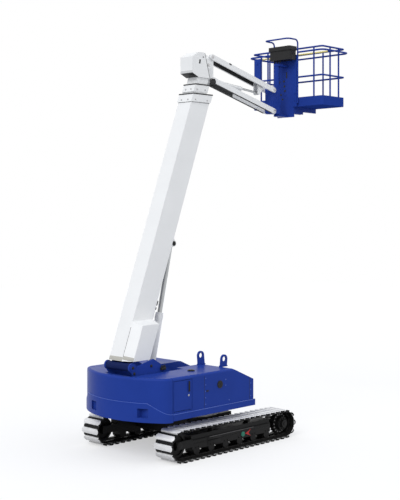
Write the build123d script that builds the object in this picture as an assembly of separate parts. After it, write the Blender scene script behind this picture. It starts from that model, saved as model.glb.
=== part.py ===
"""Tracked telescopic boom lift: crawler base, slewing turntable, three-section boom, jib and basket.

Millimetres, +X forward (towards the basket), +Y left, +Z up, standing on Z = 0.
Everything is laid out about the slew axis and moved at the end, so that the origin is the
middle of the machine's overall length, on the ground.
"""
import os
from math import asin, cos, degrees, pi, radians, sin, sqrt, tan

from build123d import *

# Crawler tracks
GAUGE = 1690.0
SHOE_WIDTH = 400.0
SHOE_COUNT = 50
SHOE_GAP = 0.28
SHOE_FLANK = 0.08
SHOE_HEIGHT = 24.0
LINK_HEIGHT = 34.0
IDLER_X = -1207.0
IDLER_TIP_RADIUS = 250.0
SPROCKET_X = 1222.0
SPROCKET_TIP_RADIUS = 236.0
TRACK_RUNNING_GAP = 0.3

# Track frames and running gear
FRAME_WIDTH = 210.0
FRAME_BOTTOM = 150.0
FRAME_TOP = 362.0
FRAME_LEDGE = 290.0
FRAME_LEDGE_STEP = 22.0
FRAME_REAR_X = -930.0
FRAME_FRONT_X = 900.0
ROLLER_RADIUS = 68.0
ROLLER_WIDTH = 190.0
ROLLER_COUNT = 6
ROLLER_SPAN = 1640.0
CARRIER_RADIUS = 28.0
CARRIER_WIDTH = 120.0
CARRIER_X = (-420.0, 420.0)
CARRIER_POST = (40.0, 48.0)
FORK_HALF_HEIGHT = 60.0
FORK_REACH = 60.0
SPROCKET_PLATE_HALF_HEIGHT = 75.0
SPROCKET_PLATE_REACH = 70.0
SPROCKET_PLATE_GAP = 6.0
WHEEL_WIDTH = 84.0
HUB_RADIUS = 128.0
HUB_REACH = 150.0
HUB_FLANGE = 40.0
MOTOR_LENGTH = 190.0
SPROCKET_TEETH = 19
TOOTH_HEIGHT = 18.0
TOOTH_FORM = ((0.0, False), (0.28, False), (0.42, True), (0.72, True), (0.86, False))
AXLE_RADIUS = 45.0

# Car body and slew ring
CAR_HALF_LENGTH = 520.0
CAR_HALF_WIDTH = 430.0
CAR_BOTTOM = 205.0
CAR_TOP = 470.0
LEG_LENGTH = 330.0
LEG_HEIGHT = 170.0
SLEW_RADIUS = 470.0
SLEW_INNER_RADIUS = 330.0
DECK_BOTTOM = 640.0
SPIGOT_LENGTH = 70.0
RUNNING_GAP = 8.0

# Turntable
DECK_TOP = 735.0
DECK_FRONT_X = 528.0
HALF_WIDTH = 950.0
HOOD_INSET = 12.0
HOOD_WALL = 22.0
HOOD_TOP = 1284.0
HOOD_FRONT_X = 496.0
HOOD_SLOPE_X = 0.0
HOOD_NOSE_TOP = 1066.0
HOOD_ROUND = 38.0
TAIL_X = -1790.0
TAIL_ROUNDNESS = 1.526
TAIL_RADIUS = TAIL_ROUNDNESS * HALF_WIDTH
TAIL_CORNER_RADIUS = 190.0
TAIL_SIDE_LENGTH = 100.0
TAIL_BULGE = TAIL_RADIUS - sqrt(TAIL_RADIUS**2 - HALF_WIDTH**2)
TAIL_FRONT_X = TAIL_X + TAIL_BULGE + TAIL_SIDE_LENGTH
PANEL_GAP = 6.0
WEIGHT_BOTTOM = 622.0
WEIGHT_TOP = 905.0
WEIGHT_CORNER_TOP = 738.0
WEIGHT_SLOPE_Y = 0.715 * HALF_WIDTH
WEIGHT_PROUD = 14.0
POCKET_Y = (-615.0, 415.0)
POCKET_WIDTH = 165.0
POCKET_HEIGHT = 138.0
POCKET_DEPTH = 60.0
POCKET_Z = 760.0
SLOT_LEFT_Y = 232.0
SLOT_RIGHT_Y = -232.0
SLOT_WIDE_Y = -392.0
SLOT_WIDE_X = -560.0
SLOT_FLOOR = 960.0
SLOT_REAR_ROOM = 40.0
ENGINE_LENGTH = 760.0
ENGINE_HEIGHT = 400.0
ENGINE_X = -600.0
ENGINE_CLEARANCE = 115.0

# Service door in the right hood
DOOR_REAR_X = TAIL_FRONT_X + 28.0
DOOR_LENGTH = 383.0
DOOR_FRONT_X = DOOR_REAR_X + DOOR_LENGTH
DOOR_BOTTOM = 775.0
DOOR_TOP = 1225.0
DOOR_THICKNESS = 18.0
DOOR_GAP = 8.0
HINGE_RADIUS = 5.0
HINGE_DEPTH = 24.0
HINGE_INSET = DOOR_THICKNESS / 2
HANDLE_X = DOOR_FRONT_X - 73.0
HANDLE_Z = 1125.0
HANDLE_SIZE = (40.0, 14.0, 150.0)

# Fittings on the right hood
LUG_PLACES = ((-50.0, -288.0, -6.0, 227.0), (55.0, -680.0, 6.0, 194.0))
LUG_WIDTH = 145.0
LUG_THICKNESS = 28.0
LUG_HOLE_RADIUS = 42.0
LUG_HOLE_DROP = 72.0
LUG_FOOT_HEIGHT = 20.0
CAP_PLACE = (-630.0, -630.0)
CAP_RADIUS = 55.0
CAP_HEIGHT = 14.0
OUTLET_X = -300.0
OUTLET_Z = 1070.0
OUTLET_RADIUS = 60.0
OUTLET_LENGTH = 9.0

# Boom pivot and bracket plates
PIVOT_X = -1620.0
PIVOT_Z = 1407.0
BRACKET_THICKNESS = 30.0
BRACKET_RIGHT_Y = -362.0
BRACKET_LEFT_Y = 190.0
BRACKET_BOSS_RADIUS = 70.0
BRACKET_REAR_SHIFT = 15.0
BRACKET_PEAK = (-1180.0, 1500.0)
BRACKET_FRONT_X = -760.0
BRACKET_FRONT_Z = 1250.0
PIVOT_PIN_RADIUS = 36.0
PIN_CLEARANCE = 0.05
PIN_HEAD_RADIUS = 48.0
PIN_HEAD_LENGTH = 10.0

# Boom sections, measured along the boom from the pivot; heights from the pivot, boom laid level
ELEVATION = 69.7
BOOM_WALL = 8.0
BASE_WIDTH = 300.0
BASE_TOP = 57.0
BASE_BOTTOM = -343.0
FOOT_CUT_RISE = 85.0
FOOT_END_PLATE = 12.0
BASE_END = 4556.0
END_SLANT = 20.3
COLLAR_LENGTH = 140.0
COLLAR_PROUD = 14.0
COLLAR_LIP_GAP = 5.0
RING_LENGTH = 20.0
RING_PROUD = 4.0
RING_FIT = 0.5
MID_WIDTH = 264.0
MID_TOP = 39.0
MID_BOTTOM = -245.0
MID_START = 420.0
MID_SHOWN = 178.0
MID_COLLAR_LENGTH = 130.0
MID_COLLAR_WIDTH = MID_WIDTH - 20.0
TIP_WIDTH = 224.0
TIP_TOP = 21.0
TIP_BOTTOM = -225.0
TIP_START = 560.0
TIP_REACH = 900.0
FOOT_EYE_RADIUS = 62.0
FOOT_EYE_GAP = 8.0
FOOT_PLATE = 30.0
FOOT_PLATE_Y = 118.0
FOOT_FRONT = 330.0
SIDE_BOX_PROUD = 172.0
SIDE_BOX_BEVEL = 77.0
SIDE_BOX_RISE = 678.0
SIDE_BOX_TOP_SLOPE = 19.2

# Boom cylinder
LIFT_FOOT = (-995.0, 900.0)
LIFT_PIN_ALONG = 2140.0
LIFT_PIN_DROP = 97.0
LIFT_BARREL_RADIUS = 62.0
LIFT_ROD_RADIUS = 38.0
LIFT_EYE_RADIUS = 46.0
LIFT_EYE_WIDTH = 90.0
LIFT_BARREL_LENGTH = 1290.0
LIFT_PIN_RADIUS = 27.0
LIFT_EAR_THICKNESS = 26.0
LIFT_EAR_GAP = 8.0
LIFT_EAR_RADIUS = 50.0
LIFT_EAR_BASE = 150.0
LIFT_NECK = 80.0
LIFT_ROD_ENGAGED = 150.0
CAVITY_START = 130.0
ROD_CLEARANCE = 1.0
GLAND_SHARE = 0.05
GLAND_PROUD = 4.0

# Boom head, placed from the point where the boom's middle line leaves the tip section
TIP_SHOWN = 152.6
HEAD_ALONG = BASE_END + MID_SHOWN + TIP_SHOWN
HEAD_X = PIVOT_X + HEAD_ALONG * cos(radians(ELEVATION))
HEAD_Z = PIVOT_Z + HEAD_ALONG * sin(radians(ELEVATION))
HEAD_HALF_WIDTH = 140.0
HEAD_PLATE = 28.0
HEAD_REACH_BACK = 175.0
HEAD_REAR_X = HEAD_X - HEAD_REACH_BACK
HEAD_REAR_BOTTOM_RISE = 60.0
HEAD_REAR_BOTTOM_Z = HEAD_Z + HEAD_REAR_BOTTOM_RISE
HEAD_REAR_TOP_RISE = 326.0
HEAD_REAR_TOP_Z = HEAD_Z + HEAD_REAR_TOP_RISE
HEAD_TOP_RISE = 410.0
HEAD_TOP_Z = HEAD_Z + HEAD_TOP_RISE
HEAD_TOP_BACK = 35.0
HEAD_TOP_REAR_X = HEAD_X - HEAD_TOP_BACK
HEAD_TOP_REACH = 125.0
HEAD_TOP_FRONT_X = HEAD_X + HEAD_TOP_REACH
HEAD_NOSE_REACH = 243.0
HEAD_NOSE_X = HEAD_X + HEAD_NOSE_REACH
HEAD_COVER_REACH = 20.0
HEAD_COVER_FRONT_X = HEAD_X + HEAD_COVER_REACH
HEAD_SHEET = 16.0
LEVEL_REACH = 210.0
LEVEL_RISE = 220.0
LEVEL_PIVOT = (HEAD_X + LEVEL_REACH, HEAD_Z + LEVEL_RISE)
LEVEL_PIN_RADIUS = 24.0
LEVEL_PIN_PROUD = 12.0
LEVEL_BOSS_RADIUS = 60.0

# Jib: two parallel arms between the root and the end bracket
JIB_ROOT_REACH = 345.0
JIB_ROOT_X = HEAD_X + JIB_ROOT_REACH
JIB_LOWER_DROP = 5.0
JIB_LOWER_Z = HEAD_Z - JIB_LOWER_DROP
JIB_PIN_RISE = 375.0
JIB_LENGTH = 1654.0
JIB_DROOP = 14.7
JIB_HALF_WIDTH = 105.0
JIB_SIDE = 28.0
JIB_HEIGHT = 90.0
JIB_PIN_RADIUS = 20.0
JIB_BOSS_RADIUS = 48.0
JIB_SIDE_GAP = 5.0
JIB_PLATE = 26.0
JIB_WEB_START = 210.0
JIB_WEB_THICKNESS = 14.0
JIB_CYLINDER_ALONG = 1330.0
JIB_CYLINDER_DROP = 160.0
JIB_BARREL_RADIUS = 34.0
JIB_ROD_RADIUS = 19.0
JIB_EYE_RADIUS = 36.0
JIB_EYE_WIDTH = 64.0
JIB_BARREL_LENGTH = 830.0
JIB_ROD_ENGAGED = 440.0
JIB_NECK = 60.0
JIB_TIE_LENGTH = 90.0
JIB_EAR_THICKNESS = 20.0
JIB_EAR_BASE = 90.0
JIB_PIN_PROUD = 3.0
JIB_UPPER_Z = JIB_LOWER_Z + JIB_PIN_RISE
JIB_END_X = JIB_ROOT_X + JIB_LENGTH * cos(radians(JIB_DROOP))
JIB_END_DROP = JIB_LENGTH * sin(radians(JIB_DROOP))
JIB_LOWER_ROOT = (JIB_ROOT_X, JIB_LOWER_Z)
JIB_UPPER_ROOT = (JIB_ROOT_X, JIB_UPPER_Z)
JIB_LOWER_END = (JIB_END_X, JIB_LOWER_Z - JIB_END_DROP)
JIB_UPPER_END = (JIB_END_X, JIB_UPPER_Z - JIB_END_DROP)
JIB_INNER = JIB_HALF_WIDTH - JIB_SIDE
ROOT_OUTER = JIB_INNER - JIB_SIDE_GAP
JIB_PIN_REACH = JIB_HALF_WIDTH + JIB_PIN_PROUD

# Basket and its swing post; heights of the fittings are measured from the top rail
SWING_REACH = 190.0
SWING_X = JIB_END_X + SWING_REACH
POST_RADIUS = 46.0
POST_FOOT_DROP = 45.0
POST_BOTTOM = JIB_LOWER_END[1] - POST_FOOT_DROP
POST_GUSSET_RADIUS = 34.0
POST_GUSSET_INSET = 40.0
POST_GUSSET_RISE = 60.0
POST_GUSSET_TOP = JIB_UPPER_END[1] + POST_GUSSET_RISE
SWING_PIN_RADIUS = 26.0
KNUCKLE_THICKNESS = 34.0
KNUCKLE_GAP = 3.0
KNUCKLE_GROW = 10.0
BASKET_REACH = 280.0
BASKET_REAR_X = SWING_X + BASKET_REACH
BASKET_LENGTH = 660.0
BASKET_FRONT_X = BASKET_REAR_X + BASKET_LENGTH
BASKET_HALF_WIDTH = 816.0
FLOOR_RISE = 150.0
FLOOR_BOTTOM = POST_BOTTOM + FLOOR_RISE
FLOOR_THICKNESS = 40.0
TOE_HEIGHT = 165.0
TOE_TOP = FLOOR_BOTTOM + TOE_HEIGHT
TOE_THICKNESS = 16.0
BASKET_CORNER = 56.0
RAIL_RADIUS = 16.0
POST_TUBE_RADIUS = 15.0
STAY_RADIUS = 10.5
BEND_EASE = 1.0
SEAT_GAP = 0.3
RAIL_RISE = 1040.0
TOP_RAIL_Z = FLOOR_BOTTOM + RAIL_RISE
MID_RAIL_Z = FLOOR_BOTTOM + 0.51 * RAIL_RISE
HOOP_DROP = 70.0
HOOP_Z = TOP_RAIL_Z - HOOP_DROP
HOOP_OUTSET = 60.0
REAR_POST_Y = (-618.0, 453.0)
FRONT_POST_Y = (-330.0, 330.0)
SIDE_POST_X = (BASKET_REAR_X + 0.35 * BASKET_LENGTH, BASKET_REAR_X + 0.73 * BASKET_LENGTH)
PANEL_HALF_WIDTH = 260.0
PANEL_THICKNESS = 30.0
PANEL_TOP_DROP = 110.0
PANEL_TOP_Z = TOP_RAIL_Z - PANEL_TOP_DROP
ARM_PLATE_Y = 190.0
ARM_PLATE_THICKNESS = 24.0
ARM_PLATE_REACH = 240.0
ARM_PLATE_FRONT_X = BASKET_REAR_X + ARM_PLATE_REACH
ARM_PLATE_DEPTH = 128.0
ARM_BEAM_SETBACK = 40.0
ARM_BEAM_FRONT_X = BASKET_FRONT_X - ARM_BEAM_SETBACK
ARM_BEAM_DEPTH = 84.0
CONTROL_DEPTH = 200.0
CONTROL_Y = (-260.0, 210.0)
CONTROL_DROP = 205.0
CONTROL_HEIGHT = 168.0
CONTROL_Z = (TOP_RAIL_Z - CONTROL_DROP, TOP_RAIL_Z - CONTROL_DROP + CONTROL_HEIGHT)
POST_HEADROOM = 115.0
POST_TOP = CONTROL_Z[0] - POST_HEADROOM
CONTROL_LID = 18.0
CONTROL_LID_HEIGHT = 72.0
CONTROL_ROUND = 30.0
GUARD_RISE = 160.0
GUARD_TOP_Z = TOP_RAIL_Z + GUARD_RISE
GUARD_REACH = 295.0
GUARD_REAR_X = BASKET_REAR_X - GUARD_REACH
GUARD_RADIUS = 14.0
GUARD_FOOT = 60.0
GUARD_CORNER = 70.0
TOOL_BOX_INSET = 78.0
TOOL_BOX_WIDTH = 150.0
TOOL_BOX_OUTER_Y = BASKET_HALF_WIDTH - TOOL_BOX_INSET
TOOL_BOX_Y = (TOOL_BOX_OUTER_Y - TOOL_BOX_WIDTH, TOOL_BOX_OUTER_Y)
TOOL_BOX_DROP = 525.0
TOOL_BOX_HEIGHT = 425.0
TOOL_BOX_Z = (TOP_RAIL_Z - TOOL_BOX_DROP, TOP_RAIL_Z - TOOL_BOX_DROP + TOOL_BOX_HEIGHT)
TOOL_BOX_DEPTH = 44.0
HOOK_BAR_DROP = 70.0
HOOK_BAR_Z = TOP_RAIL_Z - HOOK_BAR_DROP
HOOK_BAR_RADIUS = 14.0

parts = {}


# Small shape helpers
def side_plate(points, y_low, y_high):
    """A flat outline in X and Z, thick from y_low to y_high."""
    face = make_face(Plane.XZ.offset(-y_high) * Polyline(*points, close=True))
    return extrude(face, amount=y_high - y_low, dir=(0, -1, 0))


def plan_plate(outline, z_low, z_high):
    """A flat outline in X and Y, thick from z_low to z_high."""
    return extrude(Plane.XY.offset(z_low) * outline, amount=z_high - z_low)


def block(x, y, z):
    """A box between two values in each direction."""
    size = Box(x[1] - x[0], y[1] - y[0], z[1] - z[0], align=(Align.MIN,) * 3)
    return Pos(x[0], y[0], z[0]) * size


def cross_pin(x, z, radius, y_low, y_high):
    """A round bar along Y."""
    bar = Cylinder(radius, y_high - y_low, align=(Align.CENTER, Align.CENTER, Align.MIN))
    return Pos(x, y_high, z) * Rot(90, 0, 0) * bar


def upright(x, y, radius, z_low, z_high):
    """A round bar along Z."""
    bar = Cylinder(radius, z_high - z_low, align=(Align.CENTER, Align.CENTER, Align.MIN))
    return Pos(x, y, z_low) * bar


def along_x(length, radius, start=0.0):
    """A round bar along X from start."""
    bar = Cylinder(radius, length, align=(Align.CENTER, Align.CENTER, Align.MIN))
    return Pos(start, 0, 0) * Rot(0, 90, 0) * bar


def tube_path(points, radius, corner):
    """A bent round bar through the points, its corners rounded."""
    path = FilletPolyline(*points, radius=corner)
    return sweep(Plane(path @ 0, z_dir=path % 0) * Circle(radius), path)


# Undercarriage
def track_point(distance, inset):
    """A point of the shoes' tip line, moved in by inset, and the distance once round."""
    span = SPROCKET_X - IDLER_X
    lean = asin((IDLER_TIP_RADIUS - SPROCKET_TIP_RADIUS) / span)
    run = span * cos(lean)
    front_turn = pi - 2 * lean
    rear_turn = pi + 2 * lean
    front_arc = front_turn * SPROCKET_TIP_RADIUS
    rear_arc = rear_turn * IDLER_TIP_RADIUS
    loop = 2 * run + front_arc + rear_arc
    along = distance % loop
    if along < run:
        return (IDLER_X + along, inset), loop
    along -= run
    if along < front_arc:
        turn = -pi / 2 + along / SPROCKET_TIP_RADIUS
        reach = SPROCKET_TIP_RADIUS - inset
        return (SPROCKET_X + reach * cos(turn), SPROCKET_TIP_RADIUS + reach * sin(turn)), loop
    along -= front_arc
    top = pi / 2 - 2 * lean
    if along < run:
        reach = SPROCKET_TIP_RADIUS - inset
        x = SPROCKET_X + reach * cos(top) - along * sin(top)
        return (x, SPROCKET_TIP_RADIUS + reach * sin(top) + along * cos(top)), loop
    along -= run
    turn = top + along / IDLER_TIP_RADIUS
    reach = IDLER_TIP_RADIUS - inset
    return (IDLER_X + reach * cos(turn), IDLER_TIP_RADIUS + reach * sin(turn)), loop


def wheel_loop(inset):
    """The outline round both end wheels, the tip line moved in by inset."""
    ends = [
        Pos(IDLER_X, IDLER_TIP_RADIUS) * Circle(IDLER_TIP_RADIUS - inset),
        Pos(SPROCKET_X, SPROCKET_TIP_RADIUS) * Circle(SPROCKET_TIP_RADIUS - inset),
    ]
    return make_hull(ends[0].edges() + ends[1].edges())


def track(y_middle):
    """One loop of flat shoes with sloped flanks on their links."""
    loop = track_point(0, 0)[1]
    pitch = loop / SHOE_COUNT
    outline = []
    for shoe in range(SHOE_COUNT):
        start = (shoe + SHOE_GAP / 2) * pitch
        end = (shoe + 1 - SHOE_GAP / 2) * pitch
        flank = SHOE_FLANK * pitch
        profile = ((start - flank, SHOE_HEIGHT), (start, 0), (end, 0), (end + flank, SHOE_HEIGHT))
        for distance, inset in profile:
            outline.append(track_point(distance, inset)[0])
    face = Plane.XZ * make_face(Polyline(*outline, close=True))
    inside = Plane.XZ * wheel_loop(SHOE_HEIGHT + LINK_HEIGHT)
    loop_solid = extrude(face - inside, amount=SHOE_WIDTH / 2, both=True)
    return Pos(0, y_middle, 0) * loop_solid


def wheel_seat(tip_radius):
    """Radius that a wheel inside the track has."""
    return tip_radius - SHOE_HEIGHT - LINK_HEIGHT - TRACK_RUNNING_GAP


def sprocket(y_middle):
    outer = wheel_seat(SPROCKET_TIP_RADIUS)
    root = outer - TOOTH_HEIGHT
    teeth = []
    for tooth in range(SPROCKET_TEETH):
        for share, at_tip in TOOTH_FORM:
            radius = outer if at_tip else root
            turn = 2 * pi * (tooth + share) / SPROCKET_TEETH
            teeth.append((radius * cos(turn), radius * sin(turn)))
    face = Plane.XZ * make_face(Polyline(*teeth, close=True))
    disc = extrude(face, amount=WHEEL_WIDTH / 2, both=True)
    disc -= cross_pin(0, 0, HUB_RADIUS, -WHEEL_WIDTH, WHEEL_WIDTH)
    return Pos(SPROCKET_X, y_middle, SPROCKET_TIP_RADIUS) * disc


def travel_hub(side):
    """Final drive: a stepped round housing through the sprocket and its motor inboard."""
    y_middle = side * GAUGE / 2
    outward = [
        (HUB_RADIUS, -WHEEL_WIDTH / 2 - HUB_FLANGE, WHEEL_WIDTH / 2),
        (HUB_RADIUS * 0.86, WHEEL_WIDTH / 2, HUB_REACH * 0.72),
        (HUB_RADIUS * 0.5, HUB_REACH * 0.72, HUB_REACH),
        (HUB_RADIUS * 0.72, -WHEEL_WIDTH / 2 - MOTOR_LENGTH, -WHEEL_WIDTH / 2 - HUB_FLANGE),
    ]
    hub = None
    for radius, low, high in outward:
        ends = sorted((side * low, side * high))
        step = cross_pin(0, 0, radius, ends[0], ends[1])
        hub = step if hub is None else hub + step
    return Pos(SPROCKET_X, y_middle, SPROCKET_TIP_RADIUS) * hub


def idler(y_middle):
    radius = wheel_seat(IDLER_TIP_RADIUS)
    rim = cross_pin(0, 0, radius, -WHEEL_WIDTH / 2, WHEEL_WIDTH / 2)
    dish_depth = WHEEL_WIDTH * 0.28
    for low in (-WHEEL_WIDTH / 2, WHEEL_WIDTH / 2 - dish_depth):
        dish = cross_pin(0, 0, radius * 0.82, low, low + dish_depth)
        dish -= cross_pin(0, 0, radius * 0.4, low, low + dish_depth)
        rim -= dish
    rim += cross_pin(0, 0, AXLE_RADIUS, -FRAME_WIDTH / 2, FRAME_WIDTH / 2)
    return Pos(IDLER_X, y_middle, IDLER_TIP_RADIUS) * rim


def upper_run(x):
    """Height of the shoes' tips on the upper run."""
    share = (x - IDLER_X) / (SPROCKET_X - IDLER_X)
    return 2 * (IDLER_TIP_RADIUS + share * (SPROCKET_TIP_RADIUS - IDLER_TIP_RADIUS))


def carrier(x):
    """Carrier roller on its post, under the upper run."""
    z = upper_run(x) - SHOE_HEIGHT - LINK_HEIGHT - TRACK_RUNNING_GAP - CARRIER_RADIUS
    length, width = CARRIER_POST
    post = block((x - length / 2, x + length / 2), (-width / 2, width / 2), (FRAME_TOP, z))
    return post + cross_pin(x, z, CARRIER_RADIUS, -CARRIER_WIDTH / 2, CARRIER_WIDTH / 2)


def track_frame(side):
    """Closed side beam with a ledge, idler fork behind and sprocket bracket in front."""
    y_middle = side * GAUGE / 2
    y_low, y_high = y_middle - FRAME_WIDTH / 2, y_middle + FRAME_WIDTH / 2
    beam = [
        (FRAME_REAR_X, FRAME_BOTTOM),
        (FRAME_FRONT_X, FRAME_BOTTOM),
        (FRAME_FRONT_X, FRAME_TOP),
        (FRAME_REAR_X, FRAME_TOP),
    ]
    frame = side_plate(beam, y_low, y_high)
    ledge = block((FRAME_REAR_X, FRAME_FRONT_X), (0, FRAME_LEDGE_STEP), (FRAME_LEDGE, FRAME_TOP))
    outer_y = y_high - FRAME_LEDGE_STEP if side > 0 else y_low
    frame -= Pos(0, outer_y, 0) * ledge
    fork_z = (IDLER_TIP_RADIUS - FORK_HALF_HEIGHT, IDLER_TIP_RADIUS + FORK_HALF_HEIGHT)
    fork = block((IDLER_X - FORK_REACH, FRAME_REAR_X), (y_low, y_high), fork_z)
    seat = wheel_seat(IDLER_TIP_RADIUS) + RUNNING_GAP
    slot = block((IDLER_X - seat, IDLER_X + seat), (-WHEEL_WIDTH / 2, WHEEL_WIDTH / 2), (0, FRAME_TOP))
    fork -= Pos(0, y_middle, 0) * slot
    fork -= cross_pin(IDLER_X, IDLER_TIP_RADIUS, AXLE_RADIUS, y_low, y_high)
    frame += fork
    inner = -side
    gap = WHEEL_WIDTH / 2 + SPROCKET_PLATE_GAP
    plate_y = sorted((y_middle + inner * gap, y_middle + inner * FRAME_WIDTH / 2))
    half = SPROCKET_PLATE_HALF_HEIGHT
    plate_z = (SPROCKET_TIP_RADIUS - half, SPROCKET_TIP_RADIUS + half)
    plate = block((FRAME_FRONT_X, SPROCKET_X + SPROCKET_PLATE_REACH), plate_y, plate_z)
    plate -= cross_pin(SPROCKET_X, SPROCKET_TIP_RADIUS, HUB_RADIUS, plate_y[0], plate_y[1])
    frame += plate
    for x in CARRIER_X:
        frame += Pos(0, y_middle, 0) * carrier(x)
    return frame


def rollers(y_middle):
    """Track rollers under the beam, let into its underside."""
    low_z = SHOE_HEIGHT + LINK_HEIGHT + TRACK_RUNNING_GAP + ROLLER_RADIUS
    solids = []
    for number in range(ROLLER_COUNT):
        x = (number / (ROLLER_COUNT - 1) - 0.5) * ROLLER_SPAN
        wheel = cross_pin(x, low_z, ROLLER_RADIUS, -ROLLER_WIDTH / 2, ROLLER_WIDTH / 2)
        reach = 2 * ROLLER_RADIUS
        room = block((x - reach, x + reach), (-ROLLER_WIDTH, ROLLER_WIDTH), (FRAME_BOTTOM, FRAME_TOP))
        solids.append(wheel - room)
    return [Pos(0, y_middle, 0) * solid for solid in solids]


def car_body():
    """Welded middle frame with two legs to each side beam."""
    body_y = (-CAR_HALF_WIDTH, CAR_HALF_WIDTH)
    body = block((-CAR_HALF_LENGTH, CAR_HALF_LENGTH), body_y, (CAR_BOTTOM, CAR_TOP))
    reach = GAUGE / 2 - FRAME_WIDTH / 2
    for x in (-CAR_HALF_LENGTH, CAR_HALF_LENGTH - LEG_LENGTH):
        body += block((x, x + LEG_LENGTH), (-reach, reach), (CAR_BOTTOM, CAR_BOTTOM + LEG_HEIGHT))
    return body


def slew_ring():
    ring = upright(0, 0, SLEW_RADIUS, CAR_TOP, DECK_BOTTOM - RUNNING_GAP)
    return ring - upright(0, 0, SLEW_INNER_RADIUS, CAR_TOP, DECK_BOTTOM)


# Turntable
def tail_outline(grow):
    """Plan of the tail: a wide arc with rounded corners back to a straight front."""
    half = HALF_WIDTH + grow - HOOD_INSET
    rear = TAIL_X - grow + WEIGHT_PROUD
    centre = rear + TAIL_RADIUS
    edge_x = centre - sqrt(TAIL_RADIUS**2 - half**2)
    arc = ThreePointArc((edge_x, -half), (rear, 0), (edge_x, half))
    sides = Polyline((edge_x, half), (TAIL_FRONT_X, half), (TAIL_FRONT_X, -half), (edge_x, -half))
    face = make_face(arc + sides)
    corners = face.vertices().sort_by(Axis.X)[:2]
    return fillet(corners, TAIL_CORNER_RADIUS)


def shoulders():
    """What lies above the counterweight's edge, which falls away towards both sides."""
    reach = 2 * HALF_WIDTH
    drop = (WEIGHT_TOP - WEIGHT_CORNER_TOP) / (HALF_WIDTH - WEIGHT_SLOPE_Y)
    solids = []
    for side in (-1, 1):
        outline = [
            (side * WEIGHT_SLOPE_Y, WEIGHT_TOP),
            (side * reach, WEIGHT_TOP - drop * (reach - WEIGHT_SLOPE_Y)),
            (side * reach, WEIGHT_TOP),
        ]
        face = make_face(Plane.YZ.offset(TAIL_X - HALF_WIDTH) * Polyline(*outline, close=True))
        solids.append(extrude(face, amount=reach, dir=(1, 0, 0)))
    return solids


def counterweight():
    """Cast lower tail, standing proud, with two tie-down pockets."""
    weight = plan_plate(tail_outline(WEIGHT_PROUD), WEIGHT_BOTTOM, WEIGHT_TOP) - shoulders()
    for y in POCKET_Y:
        pocket = Box(4 * POCKET_DEPTH, POCKET_WIDTH, POCKET_HEIGHT)
        depth_x = TAIL_X + TAIL_RADIUS - sqrt(TAIL_RADIUS**2 - y**2)
        weight -= Pos(depth_x - POCKET_DEPTH, y, POCKET_Z) * pocket
    return weight


def tail_casting():
    """Upper tail above the counterweight, slotted for the foot of the boom."""
    tail = plan_plate(tail_outline(0), WEIGHT_TOP, HOOD_TOP)
    top_edges = tail.faces().sort_by(Axis.Z)[-1].edges().filter_by(GeomType.LINE, reverse=True)
    tail = fillet(top_edges, HOOD_ROUND)
    lower = plan_plate(tail_outline(0), WEIGHT_CORNER_TOP, WEIGHT_TOP)
    for shoulder in shoulders():
        tail += lower & shoulder
    slot_y = (SLOT_WIDE_Y, SLOT_LEFT_Y)
    return tail - block((PIVOT_X - SLOT_REAR_ROOM, TAIL_FRONT_X), slot_y, (SLOT_FLOOR, HOOD_TOP))


def deck():
    """Turntable deck with the spigot that turns in the slew ring."""
    x = (TAIL_FRONT_X + PANEL_GAP, DECK_FRONT_X)
    plate = block(x, (-HALF_WIDTH, HALF_WIDTH), (DECK_BOTTOM, DECK_TOP))
    spigot_bottom = DECK_BOTTOM - SPIGOT_LENGTH
    return plate + upright(0, 0, SLEW_INNER_RADIUS - PIN_CLEARANCE, spigot_bottom, DECK_BOTTOM)


def hood_profile(inset):
    rear = TAIL_FRONT_X + PANEL_GAP + inset
    top = HOOD_TOP - inset
    front = HOOD_FRONT_X - inset
    nose = HOOD_NOSE_TOP - inset
    return [(rear, DECK_TOP), (front, DECK_TOP), (front, nose), (HOOD_SLOPE_X - inset / 3, top), (rear, top)]


def hood_solid(inset, y_outer, y_inner, wide_inner):
    """A hood's full block, moved in by inset; its inner side steps out beside the boom's foot."""
    low, high = sorted((y_outer, y_inner))
    solid = side_plate(hood_profile(inset), low + inset, high - inset)
    if wide_inner is not None:
        step_y = (wide_inner - inset, high)
        solid -= block((TAIL_X, SLOT_WIDE_X + inset), step_y, (DECK_TOP, HOOD_TOP))
    return solid


def hood(y_outer, y_inner, wide_inner=None):
    """A hollow cover, open towards the deck, with a rounded outer top edge."""
    outer = hood_solid(0, y_outer, y_inner, wide_inner)
    top = outer.faces().sort_by(Axis.Z)[-1]
    edge = top.edges().sort_by(lambda e: abs(e.center().Y - y_outer))[0]
    outer = fillet(edge, HOOD_ROUND)
    return outer - hood_solid(HOOD_WALL, y_outer, y_inner, wide_inner)


HINGE_X = DOOR_REAR_X + HINGE_INSET
HINGE_Y = -HALF_WIDTH + HOOD_INSET + HINGE_INSET


def door_opening():
    x = (DOOR_REAR_X - DOOR_GAP, DOOR_FRONT_X + DOOR_GAP)
    y = (-HALF_WIDTH, -HALF_WIDTH + HOOD_INSET + HOOD_WALL)
    return block(x, y, (DOOR_BOTTOM - DOOR_GAP, DOOR_TOP + DOOR_GAP))


def hinge_stubs(radius):
    """Round pins of the door hinge, above and below the door."""
    low = upright(HINGE_X, HINGE_Y, radius, DOOR_BOTTOM - DOOR_GAP, DOOR_BOTTOM + HINGE_DEPTH)
    return low + upright(HINGE_X, HINGE_Y, radius, DOOR_TOP - HINGE_DEPTH, DOOR_TOP + DOOR_GAP)


def side_door():
    outer_y = -HALF_WIDTH + HOOD_INSET
    y = (outer_y, outer_y + DOOR_THICKNESS)
    door = block((DOOR_REAR_X, DOOR_FRONT_X), y, (DOOR_BOTTOM, DOOR_TOP))
    width, depth, height = HANDLE_SIZE
    grip = Pos(HANDLE_X, outer_y - depth / 2, HANDLE_Z) * Box(width, depth, height)
    return door + grip - hinge_stubs(HINGE_RADIUS + PIN_CLEARANCE)


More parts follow.
